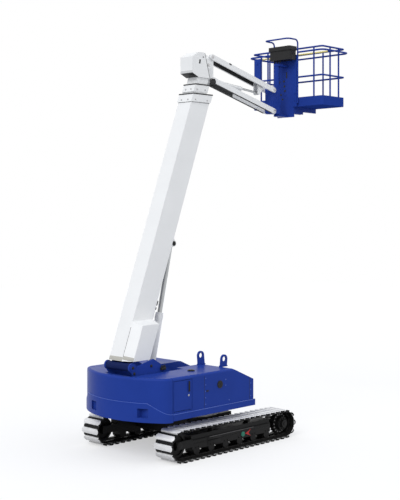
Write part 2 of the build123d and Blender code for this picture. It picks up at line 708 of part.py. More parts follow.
def bracket_plate(y_low):
    """Upright plate beside the boom's foot, with the round boss of the pivot."""
    y_high = y_low + BRACKET_THICKNESS
    stem = [
        (PIVOT_X + BRACKET_REAR_SHIFT, SLOT_FLOOR),
        (BRACKET_FRONT_X, SLOT_FLOOR),
        (BRACKET_FRONT_X, BRACKET_FRONT_Z),
        BRACKET_PEAK,
        (PIVOT_X + BRACKET_BOSS_RADIUS, PIVOT_Z),
        (PIVOT_X - BRACKET_BOSS_RADIUS, PIVOT_Z),
        (PIVOT_X + BRACKET_REAR_SHIFT, HOOD_TOP),
    ]
    plate = side_plate(stem, y_low, y_high)
    plate += cross_pin(PIVOT_X, PIVOT_Z, BRACKET_BOSS_RADIUS, y_low, y_high)
    legs = block((TAIL_FRONT_X + PANEL_GAP, BRACKET_FRONT_X), (y_low, y_high), (DECK_TOP, SLOT_FLOOR))
    plate += legs
    plate -= cross_pin(PIVOT_X, PIVOT_Z, PIVOT_PIN_RADIUS, y_low, y_high)
    return plate


def lift_foot():
    """Two ears on the deck between the bracket plates that hold the boom cylinder's foot."""
    x, z = LIFT_FOOT
    ears = []
    for side in (-1, 1):
        inner = side * (LIFT_EYE_WIDTH / 2 + LIFT_EAR_GAP)
        low, high = sorted((inner, inner + side * LIFT_EAR_THICKNESS))
        outline = [
            (x - LIFT_EAR_BASE, DECK_TOP),
            (x + LIFT_EAR_BASE, DECK_TOP),
            (x + LIFT_EAR_RADIUS, z),
            (x - LIFT_EAR_RADIUS, z),
        ]
        ear = side_plate(outline, low, high) + cross_pin(x, z, LIFT_EAR_RADIUS, low, high)
        ears.append(ear - cross_pin(x, z, LIFT_PIN_RADIUS, low, high))
    return ears


def pivot_pin():
    low = BRACKET_RIGHT_Y
    high = BRACKET_LEFT_Y + BRACKET_THICKNESS
    pin = cross_pin(PIVOT_X, PIVOT_Z, PIVOT_PIN_RADIUS, low, high)
    pin += cross_pin(PIVOT_X, PIVOT_Z, PIN_HEAD_RADIUS, low - PIN_HEAD_LENGTH, low)
    pin += cross_pin(PIVOT_X, PIVOT_Z, PIN_HEAD_RADIUS, high, high + PIN_HEAD_LENGTH)
    return pin


def lift_foot_pin():
    reach = LIFT_EYE_WIDTH / 2 + LIFT_EAR_GAP + LIFT_EAR_THICKNESS
    return cross_pin(*LIFT_FOOT, LIFT_PIN_RADIUS, -reach, reach)


def lifting_lug(x, y, lean, height):
    """Flat eye plate with a round top, leaning outwards."""
    round_radius = LUG_WIDTH / 2
    outline = Rectangle(LUG_WIDTH, height - round_radius, align=(Align.CENTER, Align.MIN))
    outline += Pos(0, height - round_radius) * Circle(round_radius)
    outline -= Pos(0, height - LUG_HOLE_DROP) * Circle(LUG_HOLE_RADIUS)
    plate = extrude(Plane.XZ * outline, amount=LUG_THICKNESS / 2, both=True)
    foot_y = (-LUG_THICKNESS, LUG_THICKNESS)
    foot = block((-LUG_WIDTH / 2, LUG_WIDTH / 2), foot_y, (0, LUG_FOOT_HEIGHT))
    below = block((-LUG_WIDTH, LUG_WIDTH), foot_y, (-LUG_WIDTH, 0))
    return Pos(x, y, HOOD_TOP) * (foot + (Rot(0, lean, 0) * plate - below))


# Boom: each section is laid level with the pivot at the origin, then raised
def raised(shape):
    return Pos(PIVOT_X, 0, PIVOT_Z) * Rot(0, -ELEVATION, 0) * shape


def section_outline(start, end, top, bottom):
    """Side outline of a section whose end slants forward towards the underside."""
    slant = tan(radians(END_SLANT))
    return [(start, bottom), (end + (top - bottom) * slant, bottom), (end, top), (start, top)]


def box_section(start, end, width, top, bottom, hollow=True):
    tube = side_plate(section_outline(start, end, top, bottom), -width / 2, width / 2)
    if hollow:
        slant = tan(radians(END_SLANT)) * BOOM_WALL
        inside = section_outline(start - 1, end + slant + 1, top - BOOM_WALL, bottom + BOOM_WALL)
        tube -= side_plate(inside, -width / 2 + BOOM_WALL, width / 2 - BOOM_WALL)
    return tube


def collar(end, length, width, top, bottom, hole):
    """Frame round a section's mouth, with a hole for the next section."""
    slant = tan(radians(END_SLANT))
    grow = COLLAR_PROUD
    outline = section_outline(end - length, end - slant * grow, top + grow, bottom - grow)
    start_shift = slant * (top + grow - bottom + grow)
    outline[0] = (outline[0][0] + start_shift, outline[0][1])
    frame = side_plate(outline, -width / 2 - grow, width / 2 + grow)
    hole_width, hole_top, hole_bottom = hole
    hole_y = (-hole_width / 2, hole_width / 2)
    return frame - block((end - 3 * length, end + 3 * length), hole_y, (hole_bottom, hole_top))


def wear_ring(end, width, top, bottom, hole):
    slant = tan(radians(END_SLANT))
    grow = COLLAR_PROUD + RING_PROUD
    outline = section_outline(end, end + RING_LENGTH - slant * grow, top + grow, bottom - grow)
    outline[3] = (end - slant * grow, outline[3][1])
    outline[0] = (outline[1][0] - RING_LENGTH, outline[0][1])
    ring = side_plate(outline, -width / 2 - grow, width / 2 + grow)
    hole_width, hole_top, hole_bottom = hole
    hole_y = (-hole_width / 2, hole_width / 2)
    return ring - block((end - width, end + 2 * width), hole_y, (hole_bottom, hole_top))


def clear_of(width, top, bottom, gap):
    """The hole that a section of this size slides in."""
    return width + 2 * gap, top + gap, bottom - gap


def above_foot(shape):
    """A raised section without what lies below the level cut of the boom's foot."""
    low = PIVOT_Z + FOOT_CUT_RISE
    below = block((TAIL_X, HEAD_X), (-2 * BASE_WIDTH, 2 * BASE_WIDTH), (low - BASE_END, low))
    return shape - below


def boom_base():
    """First section: box with a level foot, a collar at the mouth and ears for the cylinder."""
    base = box_section(0, BASE_END, BASE_WIDTH, BASE_TOP, BASE_BOTTOM)
    hole = clear_of(MID_WIDTH, MID_TOP, MID_BOTTOM, COLLAR_LIP_GAP)
    base += collar(BASE_END, COLLAR_LENGTH, BASE_WIDTH, BASE_TOP, BASE_BOTTOM, hole)
    ear_z = BASE_BOTTOM - LIFT_PIN_DROP
    for side in (-1, 1):
        inner = side * (LIFT_EYE_WIDTH / 2 + LIFT_EAR_GAP)
        y_low, y_high = sorted((inner, inner + side * LIFT_EAR_THICKNESS))
        outline = [
            (LIFT_PIN_ALONG - LIFT_EAR_BASE, BASE_BOTTOM),
            (LIFT_PIN_ALONG - LIFT_EAR_RADIUS, ear_z),
            (LIFT_PIN_ALONG + LIFT_EAR_RADIUS, ear_z),
            (LIFT_PIN_ALONG + LIFT_EAR_BASE, BASE_BOTTOM),
        ]
        base += side_plate(outline, y_low, y_high)
        base += cross_pin(LIFT_PIN_ALONG, ear_z, LIFT_EAR_RADIUS, y_low, y_high)
        outside = inner + side * LIFT_EAR_THICKNESS
        stub = sorted((outside, outside + side * PIN_HEAD_LENGTH))
        base += cross_pin(LIFT_PIN_ALONG, ear_z, LIFT_PIN_RADIUS, stub[0], stub[1])
    outline = section_outline(0, BASE_END, BASE_TOP, BASE_BOTTOM)
    full = raised(side_plate(outline, -BASE_WIDTH / 2, BASE_WIDTH / 2))
    low = PIVOT_Z + FOOT_CUT_RISE
    end_plate = full & block((TAIL_X, HEAD_X), (-BASE_WIDTH, BASE_WIDTH), (low, low + FOOT_END_PLATE))
    return above_foot(raised(base)) + end_plate


def boom_foot():
    """Two plates under the boom's foot and the round eye that turns on the pivot pin."""
    low = BRACKET_RIGHT_Y + BRACKET_THICKNESS + FOOT_EYE_GAP
    high = BRACKET_LEFT_Y - FOOT_EYE_GAP
    top = PIVOT_Z + FOOT_CUT_RISE
    outline = [
        (PIVOT_X, PIVOT_Z - FOOT_EYE_RADIUS),
        (PIVOT_X + FOOT_FRONT, top),
        (PIVOT_X, top),
    ]
    foot = cross_pin(PIVOT_X, PIVOT_Z, FOOT_EYE_RADIUS, low, high)
    for y_low in (-FOOT_PLATE_Y, FOOT_PLATE_Y - FOOT_PLATE):
        foot += side_plate(outline, y_low, y_low + FOOT_PLATE)
    return foot - cross_pin(PIVOT_X, PIVOT_Z, PIVOT_PIN_RADIUS + PIN_CLEARANCE, low, high)


def side_box():
    """Closed box on the right face of the boom's foot, its rear and top faces sloping to the boom."""
    inner_y = -BASE_WIDTH / 2
    outer_y = inner_y - SIDE_BOX_PROUD
    profile = [
        (inner_y, BASE_TOP),
        (outer_y, BASE_TOP - SIDE_BOX_BEVEL),
        (outer_y, BASE_BOTTOM),
        (inner_y, BASE_BOTTOM),
    ]
    prism = extrude(make_face(Plane.YZ * Polyline(*profile, close=True)), amount=BASE_END / 2, dir=(1, 0, 0))
    roof = Box(BASE_END, 2 * BASE_END, BASE_END, align=(Align.CENTER, Align.CENTER, Align.MIN))
    top = Pos(PIVOT_X, inner_y, PIVOT_Z + SIDE_BOX_RISE) * Rot(SIDE_BOX_TOP_SLOPE, 0, 0) * roof
    return above_foot(raised(prism)) - top


def mid_end():
    return BASE_END + MID_SHOWN


def boom_mid():
    """Second section, with its own collar beyond the first one's mouth."""
    middle = box_section(MID_START, mid_end(), MID_WIDTH, MID_TOP, MID_BOTTOM)
    hole = clear_of(TIP_WIDTH, TIP_TOP, TIP_BOTTOM, COLLAR_LIP_GAP)
    middle += collar(mid_end(), MID_COLLAR_LENGTH, MID_COLLAR_WIDTH, MID_TOP, MID_BOTTOM, hole)
    return raised(middle)


def boom_tip():
    """Third section, cut level under the head."""
    tube = box_section(TIP_START, BASE_END + TIP_REACH, TIP_WIDTH, TIP_TOP, TIP_BOTTOM)
    above = block((TAIL_X, SWING_X), (-TIP_WIDTH, TIP_WIDTH), (HEAD_Z, HEAD_Z + TIP_REACH))
    return raised(tube) - above


# Boom cylinder
def lift_pin():
    """The boom cylinder's upper pin at rest, in X and Z."""
    lean = radians(ELEVATION)
    along, up = LIFT_PIN_ALONG, BASE_BOTTOM - LIFT_PIN_DROP
    return (
        PIVOT_X + along * cos(lean) - up * sin(lean),
        PIVOT_Z + along * sin(lean) + up * cos(lean),
    )


def span(start, end):
    """Length and tilt above X, in degrees, of the line from start to end."""
    dx, dz = end[0] - start[0], end[1] - start[1]
    length = sqrt(dx * dx + dz * dz)
    tilt = degrees(asin(dz / length))
    return length, tilt if dx >= 0 else 180 - tilt


def laid_along(shape, start, end):
    """Moves a shape built along X from the origin onto the line from start to end."""
    return Pos(start[0], 0, start[1]) * Rot(0, -span(start, end)[1], 0) * shape


def barrel(neck, length, radius, eye_radius, eye_width, pin_radius, rod_radius):
    """Cylinder tube with its foot eye on a neck, bored for the rod, and a gland nut."""
    body = along_x(length - neck, radius, neck)
    body += along_x(length * GLAND_SHARE, radius + GLAND_PROUD, length * (1 - 1.5 * GLAND_SHARE))
    body += block((0, neck), (-eye_width / 2, eye_width / 2), (-eye_radius * 0.8, eye_radius * 0.8))
    body += cross_pin(0, 0, eye_radius, -eye_width / 2, eye_width / 2)
    body -= cross_pin(0, 0, pin_radius + PIN_CLEARANCE, -radius - eye_width, radius + eye_width)
    return body - along_x(length, rod_radius + ROD_CLEARANCE, CAVITY_START)


def rod(start, length, radius, eye_radius, eye_width):
    """Polished rod from its inner end to its eye."""
    bar = along_x(length - start, radius, start)
    return bar + cross_pin(length, 0, eye_radius, -eye_width / 2, eye_width / 2)


# Boom head and jib
def boom_head():
    """Welded head: two side plates with a cover over the rear, open underneath."""
    side = [
        (HEAD_REAR_X, HEAD_REAR_BOTTOM_Z),
        (HEAD_REAR_X, HEAD_REAR_TOP_Z),
        (HEAD_TOP_REAR_X, HEAD_TOP_Z),
        (HEAD_TOP_FRONT_X, HEAD_TOP_Z),
        (HEAD_NOSE_X, HEAD_Z),
        (HEAD_TOP_REAR_X, HEAD_Z),
    ]
    inner_y = HEAD_HALF_WIDTH - HEAD_PLATE
    head = None
    for y_low, y_high in ((-HEAD_HALF_WIDTH, -inner_y), (inner_y, HEAD_HALF_WIDTH)):
        plate = side_plate(side, y_low, y_high)
        plate += cross_pin(*LEVEL_PIVOT, LEVEL_BOSS_RADIUS, y_low, y_high)
        plate -= cross_pin(*LEVEL_PIVOT, LEVEL_PIN_RADIUS, y_low, y_high)
        head = plate if head is None else head + plate
    cover = [
        (HEAD_REAR_X, HEAD_REAR_BOTTOM_Z),
        (HEAD_REAR_X, HEAD_REAR_TOP_Z),
        (HEAD_TOP_REAR_X, HEAD_TOP_Z),
        (HEAD_COVER_FRONT_X, HEAD_TOP_Z),
        (HEAD_COVER_FRONT_X, HEAD_TOP_Z - HEAD_SHEET),
        (HEAD_TOP_REAR_X + HEAD_SHEET / 4, HEAD_TOP_Z - HEAD_SHEET),
        (HEAD_REAR_X + HEAD_SHEET, HEAD_REAR_TOP_Z - HEAD_SHEET / 2),
        (HEAD_REAR_X + HEAD_SHEET, HEAD_REAR_BOTTOM_Z),
    ]
    head += side_plate(cover, -inner_y, inner_y)
    sole_z = (HEAD_Z, HEAD_Z + HEAD_SHEET)
    return head + block((HEAD_TOP_REAR_X, HEAD_NOSE_X), (-inner_y, inner_y), sole_z)


def level_pin():
    reach = HEAD_HALF_WIDTH + LEVEL_PIN_PROUD
    return cross_pin(*LEVEL_PIVOT, LEVEL_PIN_RADIUS, -reach, reach)


def rounded_link(places, y_low, y_high):
    """Flat plate round a few (x, z, radius) bosses."""
    rings = [Pos(x, z) * Circle(radius) for x, z, radius in places]
    edges = [edge for ring in rings for edge in ring.edges()]
    return extrude(Plane.XZ.offset(-y_high) * make_hull(edges), amount=y_high - y_low, dir=(0, -1, 0))


def jib_root():
    """Levelled bracket at the boom head that holds both arms and the jib cylinder's foot."""
    places = [(*LEVEL_PIVOT, LEVEL_BOSS_RADIUS)]
    places += [(x, z, JIB_BOSS_RADIUS) for x, z in (JIB_UPPER_ROOT, JIB_LOWER_ROOT)]
    root = None
    for y_low, y_high in ((-ROOT_OUTER, -ROOT_OUTER + JIB_PLATE), (ROOT_OUTER - JIB_PLATE, ROOT_OUTER)):
        plate = rounded_link(places, y_low, y_high)
        root = plate if root is None else root + plate
    reach = HEAD_HALF_WIDTH - HEAD_PLATE - JIB_SIDE_GAP
    root += cross_pin(*LEVEL_PIVOT, LEVEL_BOSS_RADIUS, -reach, reach)
    root -= cross_pin(*LEVEL_PIVOT, LEVEL_PIN_RADIUS + PIN_CLEARANCE, -reach, reach)
    for x, z in (JIB_UPPER_ROOT, JIB_LOWER_ROOT):
        root += cross_pin(x, z, JIB_PIN_RADIUS, -JIB_PIN_REACH, JIB_PIN_REACH)
    return root


def arm_plates(webs):
    """One jib arm along X from its root pin: two side plates and the webs between them."""
    arm = None
    for y_low, y_high in ((-JIB_HALF_WIDTH, -JIB_INNER), (JIB_INNER, JIB_HALF_WIDTH)):
        places = [(0, 0, JIB_HEIGHT / 2), (JIB_LENGTH, 0, JIB_HEIGHT / 2)]
        plate = rounded_link(places, y_low, y_high)
        for x in (0, JIB_LENGTH):
            plate -= cross_pin(x, 0, JIB_PIN_RADIUS + PIN_CLEARANCE, y_low, y_high)
        arm = plate if arm is None else arm + plate
    for x_low, x_high, z_low, z_high in webs:
        arm += block((x_low, x_high), (-JIB_INNER, JIB_INNER), (z_low, z_high))
    return arm


def jib_arm():
    """Lower arm: two bars tied by a short web near each end."""
    half = JIB_HEIGHT / 2
    end = JIB_LENGTH - JIB_WEB_START
    webs = [(end - JIB_TIE_LENGTH, end, -half, -half + JIB_WEB_THICKNESS)]
    return laid_along(arm_plates(webs), JIB_LOWER_ROOT, JIB_LOWER_END)


def jib_link():
    """Upper arm: a channel with a full bottom web, and the ears of the jib cylinder's rod."""
    half = JIB_HEIGHT / 2
    webs = [(JIB_WEB_START, JIB_LENGTH - JIB_WEB_START, half - JIB_WEB_THICKNESS, half)]
    arm = arm_plates(webs)
    for side in (-1, 1):
        inner = side * (JIB_EYE_WIDTH / 2 + JIB_SIDE_GAP)
        y_low, y_high = sorted((inner, inner + side * JIB_EAR_THICKNESS))
        outline = [
            (JIB_CYLINDER_ALONG - JIB_EAR_BASE, half),
            (JIB_CYLINDER_ALONG - JIB_EYE_RADIUS, -JIB_CYLINDER_DROP),
            (JIB_CYLINDER_ALONG + JIB_EYE_RADIUS, -JIB_CYLINDER_DROP),
            (JIB_CYLINDER_ALONG + JIB_EAR_BASE, half),
        ]
        arm += side_plate(outline, y_low, y_high)
        arm += cross_pin(JIB_CYLINDER_ALONG, -JIB_CYLINDER_DROP, JIB_EYE_RADIUS, y_low, y_high)
    return laid_along(arm, JIB_UPPER_ROOT, JIB_UPPER_END)


def jib_rod_pin():
    """The jib cylinder's rod pin at rest, in X and Z."""
    lean = radians(-JIB_DROOP)
    along, up = JIB_CYLINDER_ALONG, -JIB_CYLINDER_DROP
    return (
        JIB_ROOT_X + along * cos(lean) - up * sin(lean),
        JIB_UPPER_Z + along * sin(lean) + up * cos(lean),
    )


def jib_end():
    """Bracket at the arms' ends that carries the upright tube of the basket's swing."""
    places = [(*JIB_UPPER_END, JIB_BOSS_RADIUS), (*JIB_LOWER_END, JIB_BOSS_RADIUS)]
    for z in (POST_BOTTOM + POST_GUSSET_INSET, POST_GUSSET_TOP):
        places.append((SWING_X - POST_RADIUS / 2, z, POST_GUSSET_RADIUS))
    end = rounded_link(places, -ROOT_OUTER, ROOT_OUTER)
    end += upright(SWING_X, 0, POST_RADIUS, POST_BOTTOM, POST_TOP)
    end -= upright(SWING_X, 0, SWING_PIN_RADIUS + PIN_CLEARANCE, POST_BOTTOM, POST_TOP)
    for x, z in (JIB_UPPER_END, JIB_LOWER_END):
        end += cross_pin(x, z, JIB_PIN_RADIUS, -JIB_PIN_REACH, JIB_PIN_REACH)
    return end


# Basket
RAIL_INSET = TOE_THICKNESS / 2
PANEL_FRONT_X = BASKET_REAR_X + RAIL_INSET - RAIL_RADIUS - SEAT_GAP
PANEL_REAR_X = PANEL_FRONT_X - PANEL_THICKNESS


def swing_bracket():
    """Two knuckles on the swing pin, joined to plates that run under the floor."""
    low_z = (POST_BOTTOM - KNUCKLE_GAP - KNUCKLE_THICKNESS, POST_BOTTOM - KNUCKLE_GAP)
    high_z = (POST_TOP + KNUCKLE_GAP, POST_TOP + KNUCKLE_GAP + KNUCKLE_THICKNESS)
    bracket = None
    for z_low, z_high in (low_z, high_z):
        radius = POST_RADIUS + KNUCKLE_GROW
        knuckle = upright(SWING_X, 0, radius, z_low, z_high)
        knuckle += block((SWING_X, PANEL_REAR_X), (-radius, radius), (z_low, z_high))
        bracket = knuckle if bracket is None else bracket + knuckle
    bracket += upright(SWING_X, 0, SWING_PIN_RADIUS, low_z[0], high_z[1])
    foot_z = (low_z[0], FLOOR_BOTTOM)
    for side in (-1, 1):
        y = sorted((side * ARM_PLATE_Y, side * (ARM_PLATE_Y - ARM_PLATE_THICKNESS)))
        bracket += block((PANEL_REAR_X, ARM_PLATE_FRONT_X), y, (FLOOR_BOTTOM - ARM_PLATE_DEPTH, FLOOR_BOTTOM))
        bracket += block((PANEL_REAR_X, ARM_BEAM_FRONT_X), y, (FLOOR_BOTTOM - ARM_BEAM_DEPTH, FLOOR_BOTTOM))
    cross_x = (PANEL_REAR_X, PANEL_REAR_X + ARM_PLATE_THICKNESS)
    return bracket + block(cross_x, (-ARM_PLATE_Y, ARM_PLATE_Y), foot_z)


def rear_panel():
    """Flat panel that carries the basket on its bracket and the control box."""
    x = (PANEL_REAR_X, PANEL_FRONT_X)
    return block(x, (-PANEL_HALF_WIDTH, PANEL_HALF_WIDTH), (FLOOR_BOTTOM, PANEL_TOP_Z))


def basket_floor():
    """Floor plate with its toe boards."""
    size_x = BASKET_FRONT_X - BASKET_REAR_X
    outline = RectangleRounded(size_x, 2 * BASKET_HALF_WIDTH, BASKET_CORNER)
    floor_top = FLOOR_BOTTOM + FLOOR_THICKNESS
    inside = RectangleRounded(
        size_x - 2 * TOE_THICKNESS, 2 * (BASKET_HALF_WIDTH - TOE_THICKNESS), BASKET_CORNER - TOE_THICKNESS
    )
    tray = plan_plate(outline, FLOOR_BOTTOM, TOE_TOP) - plan_plate(inside, floor_top, TOE_TOP)
    return Pos((BASKET_REAR_X + BASKET_FRONT_X) / 2, 0, 0) * tray


RAIL_LINES = ((TOP_RAIL_Z, 0.0), (HOOP_Z, HOOP_OUTSET), (MID_RAIL_Z, 0.0))


def rail_corner(outset):
    return BASKET_CORNER + outset - RAIL_INSET


def long_rail(x, outset_side, posts_y, hoop_spans):
    """Straight rails and posts on the basket's rear or front, between the corner bends."""
    straight = BASKET_HALF_WIDTH - BASKET_CORNER
    frame = None
    for z, outset in RAIL_LINES:
        for y_low, y_high in hoop_spans if outset else ((-straight, straight),):
            bar = cross_pin(x + outset_side * outset, z, RAIL_RADIUS, y_low, y_high)
            frame = bar if frame is None else frame + bar
    for y in posts_y:
        frame += upright(x, y, POST_TUBE_RADIUS, TOE_TOP, TOP_RAIL_Z)
        reach = sorted((x, x + outset_side * HOOP_OUTSET))
        stay = Pos(reach[0], y, HOOP_Z) * Rot(0, 90, 0) * Cylinder(
            STAY_RADIUS, reach[1] - reach[0], align=(Align.CENTER, Align.CENTER, Align.MIN)
        )
        frame += stay
    return frame


def short_rail(side, posts_x):
    """Rails and posts on one end of the basket, with both corner bends."""
    rear = BASKET_REAR_X + RAIL_INSET
    front = BASKET_FRONT_X - RAIL_INSET
    y_end = BASKET_HALF_WIDTH - RAIL_INSET
    straight = BASKET_HALF_WIDTH - BASKET_CORNER
    frame = None
    for z, outset in RAIL_LINES:
        y = side * (y_end + outset)
        points = [
            (rear - outset, side * straight, z),
            (rear - outset, y, z),
            (front + outset, y, z),
            (front + outset, side * straight, z),
        ]
        bar = tube_path(points, RAIL_RADIUS, rail_corner(outset) - BEND_EASE)
        frame = bar if frame is None else frame + bar
    for x in posts_x:
        frame += upright(x, side * y_end, POST_TUBE_RADIUS, TOE_TOP, TOP_RAIL_Z)
        reach = sorted((side * y_end, side * (y_end + HOOP_OUTSET)))
        frame += cross_pin(x, HOOP_Z, STAY_RADIUS, reach[0], reach[1])
    return frame


def control_box():
    """Control box hung behind the basket's rear rail, under an overhanging lid."""
    front = PANEL_REAR_X - SEAT_GAP
    low, high = CONTROL_Z
    box = None
    for grow, z_low, z_high in ((0, low, high), (CONTROL_LID, high, high + CONTROL_LID_HEIGHT)):
        depth = CONTROL_DEPTH + grow
        width = CONTROL_Y[1] - CONTROL_Y[0] + 2 * grow
        outline = RectangleRounded(depth, width, CONTROL_ROUND)
        y_middle = (CONTROL_Y[0] + CONTROL_Y[1]) / 2
        step = Pos(front - depth / 2, y_middle, 0) * plan_plate(outline, z_low, z_high)
        box = step if box is None else box + step
    return box


def control_guard():
    """Bent tube over the control box, standing on the rear panel's posts."""
    foot_x = (PANEL_REAR_X + PANEL_FRONT_X) / 2
    y = PANEL_HALF_WIDTH + SEAT_GAP + GUARD_RADIUS
    points = [
        (foot_x, -y, FLOOR_BOTTOM + GUARD_FOOT),
        (foot_x, -y, GUARD_TOP_Z),
        (GUARD_REAR_X, -y, GUARD_TOP_Z),
        (GUARD_REAR_X, y, GUARD_TOP_Z),
        (foot_x, y, GUARD_TOP_Z),
        (foot_x, y, FLOOR_BOTTOM + GUARD_FOOT),
    ]
    return tube_path(points, GUARD_RADIUS, GUARD_CORNER)


def tool_box():
    x = (PANEL_FRONT_X - TOOL_BOX_DEPTH, PANEL_FRONT_X)
    return block(x, TOOL_BOX_Y, TOOL_BOX_Z)


def hook_bar():
    """Bar across the basket to clip a harness to."""
    y = BASKET_HALF_WIDTH - RAIL_INSET - POST_TUBE_RADIUS - SEAT_GAP
    return cross_pin(SIDE_POST_X[0], HOOK_BAR_Z, HOOK_BAR_RADIUS, -y, y)


# Assembly
for name, side in (("right", -1), ("left", 1)):
    y_middle = side * GAUGE / 2
    parts[f"track_{name}"] = track(y_middle)
    parts[f"track_frame_{name}"] = track_frame(side)
    parts[f"sprocket_{name}"] = sprocket(y_middle)
    parts[f"travel_hub_{name}"] = travel_hub(side)
    parts[f"idler_{name}"] = idler(y_middle)
    parts[f"rollers_{name}"] = Compound(children=rollers(y_middle))
parts["car_body"] = car_body()
parts["slew_ring"] = slew_ring()
parts["turntable_deck"] = deck()
parts["counterweight"] = counterweight()
parts["tail_casting"] = tail_casting()
hood_y = HALF_WIDTH - HOOD_INSET
parts["right_hood"] = hood(-hood_y, SLOT_RIGHT_Y, SLOT_WIDE_Y) - door_opening() + hinge_stubs(HINGE_RADIUS)
parts["left_hood"] = hood(hood_y, SLOT_LEFT_Y)
parts["side_door"] = side_door()
engine_gap = HOOD_WALL + ENGINE_CLEARANCE
engine_x = (ENGINE_X - ENGINE_LENGTH / 2, ENGINE_X + ENGINE_LENGTH / 2)
engine_y = (SLOT_LEFT_Y + engine_gap, hood_y - engine_gap)
parts["engine"] = block(engine_x, engine_y, (DECK_TOP, DECK_TOP + ENGINE_HEIGHT))
parts["bracket_right"] = bracket_plate(BRACKET_RIGHT_Y)
parts["bracket_left"] = bracket_plate(BRACKET_LEFT_Y)
parts["lift_foot"] = Compound(children=lift_foot())
parts["pivot_pin"] = pivot_pin()
parts["lift_foot_pin"] = lift_foot_pin()
parts["lifting_lugs"] = Compound(children=[lifting_lug(*place) for place in LUG_PLACES])
parts["filler_cap"] = upright(*CAP_PLACE, CAP_RADIUS, HOOD_TOP, HOOD_TOP + CAP_HEIGHT)
outlet_y = -HALF_WIDTH + HOOD_INSET
parts["side_outlet"] = cross_pin(OUTLET_X, OUTLET_Z, OUTLET_RADIUS, outlet_y - OUTLET_LENGTH, outlet_y)
parts["boom_base"] = boom_base()
parts["boom_foot"] = boom_foot()
parts["boom_side_box"] = side_box()
base_hole = clear_of(MID_WIDTH, MID_TOP, MID_BOTTOM, RING_FIT)
parts["base_wear_ring"] = raised(wear_ring(BASE_END, BASE_WIDTH, BASE_TOP, BASE_BOTTOM, base_hole))
parts["boom_mid"] = boom_mid()
mid_hole = clear_of(TIP_WIDTH, TIP_TOP, TIP_BOTTOM, RING_FIT)
parts["mid_wear_ring"] = raised(wear_ring(mid_end(), MID_COLLAR_WIDTH, MID_TOP, MID_BOTTOM, mid_hole))
parts["boom_tip"] = boom_tip()
parts["boom_head"] = boom_head()
parts["level_pin"] = level_pin()
lift_length = span(LIFT_FOOT, lift_pin())[0]
lift_barrel = barrel(
    LIFT_NECK,
    LIFT_BARREL_LENGTH,
    LIFT_BARREL_RADIUS,
    LIFT_EYE_RADIUS,
    LIFT_EYE_WIDTH,
    LIFT_PIN_RADIUS,
    LIFT_ROD_RADIUS,
)
parts["lift_barrel"] = laid_along(lift_barrel, LIFT_FOOT, lift_pin())
lift_rod_start = LIFT_BARREL_LENGTH - LIFT_ROD_ENGAGED
lift_rod = rod(lift_rod_start, lift_length, LIFT_ROD_RADIUS, LIFT_EYE_RADIUS, LIFT_EYE_WIDTH)
parts["lift_rod"] = laid_along(lift_rod, LIFT_FOOT, lift_pin())
parts["jib_root"] = jib_root()
parts["jib_arm"] = jib_arm()
parts["jib_link"] = jib_link()
jib_length = span(JIB_LOWER_ROOT, jib_rod_pin())[0]
jib_barrel = barrel(
    JIB_NECK,
    JIB_BARREL_LENGTH,
    JIB_BARREL_RADIUS,
    JIB_EYE_RADIUS,
    JIB_EYE_WIDTH,
    JIB_PIN_RADIUS,
    JIB_ROD_RADIUS,
)
parts["jib_barrel"] = laid_along(jib_barrel, JIB_LOWER_ROOT, jib_rod_pin())
jib_rod_start = JIB_BARREL_LENGTH - JIB_ROD_ENGAGED
jib_rod = rod(jib_rod_start, jib_length, JIB_ROD_RADIUS, JIB_EYE_RADIUS, JIB_EYE_WIDTH)
parts["jib_rod"] = laid_along(jib_rod, JIB_LOWER_ROOT, jib_rod_pin())
parts["jib_end"] = jib_end()
parts["swing_bracket"] = swing_bracket()
parts["rear_panel"] = rear_panel()
parts["basket_floor"] = basket_floor()
straight_y = BASKET_HALF_WIDTH - BASKET_CORNER
rear_rail_x = BASKET_REAR_X + RAIL_INSET
front_rail_x = BASKET_FRONT_X - RAIL_INSET
guard_y = PANEL_HALF_WIDTH + 2 * SEAT_GAP + 2 * GUARD_RADIUS + RAIL_RADIUS
rear_hoop = ((-straight_y, -guard_y), (guard_y, straight_y))
parts["rail_rear"] = long_rail(rear_rail_x, -1, REAR_POST_Y, rear_hoop)
front_hoop = ((-straight_y, straight_y),)
parts["rail_front"] = long_rail(front_rail_x, 1, FRONT_POST_Y, front_hoop)
parts["rail_right"] = short_rail(-1, SIDE_POST_X)
parts["rail_left"] = short_rail(1, SIDE_POST_X)
parts["control_box"] = control_box()
parts["control_guard"] = control_guard()
parts["tool_box"] = tool_box()
parts["hook_bar"] = hook_bar()

hoop_front = BASKET_FRONT_X - RAIL_INSET + HOOP_OUTSET + RAIL_RADIUS
middle_x = (TAIL_X + hoop_front) / 2
os.makedirs("parts", exist_ok=True)
for name, shape in parts.items():
    export_step(Pos(-middle_x, 0, 0) * shape, f"parts/{name}.step")
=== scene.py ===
from math import asin, cos, pi, radians, sin, sqrt

import bpy
from mathutils import Matrix, Vector


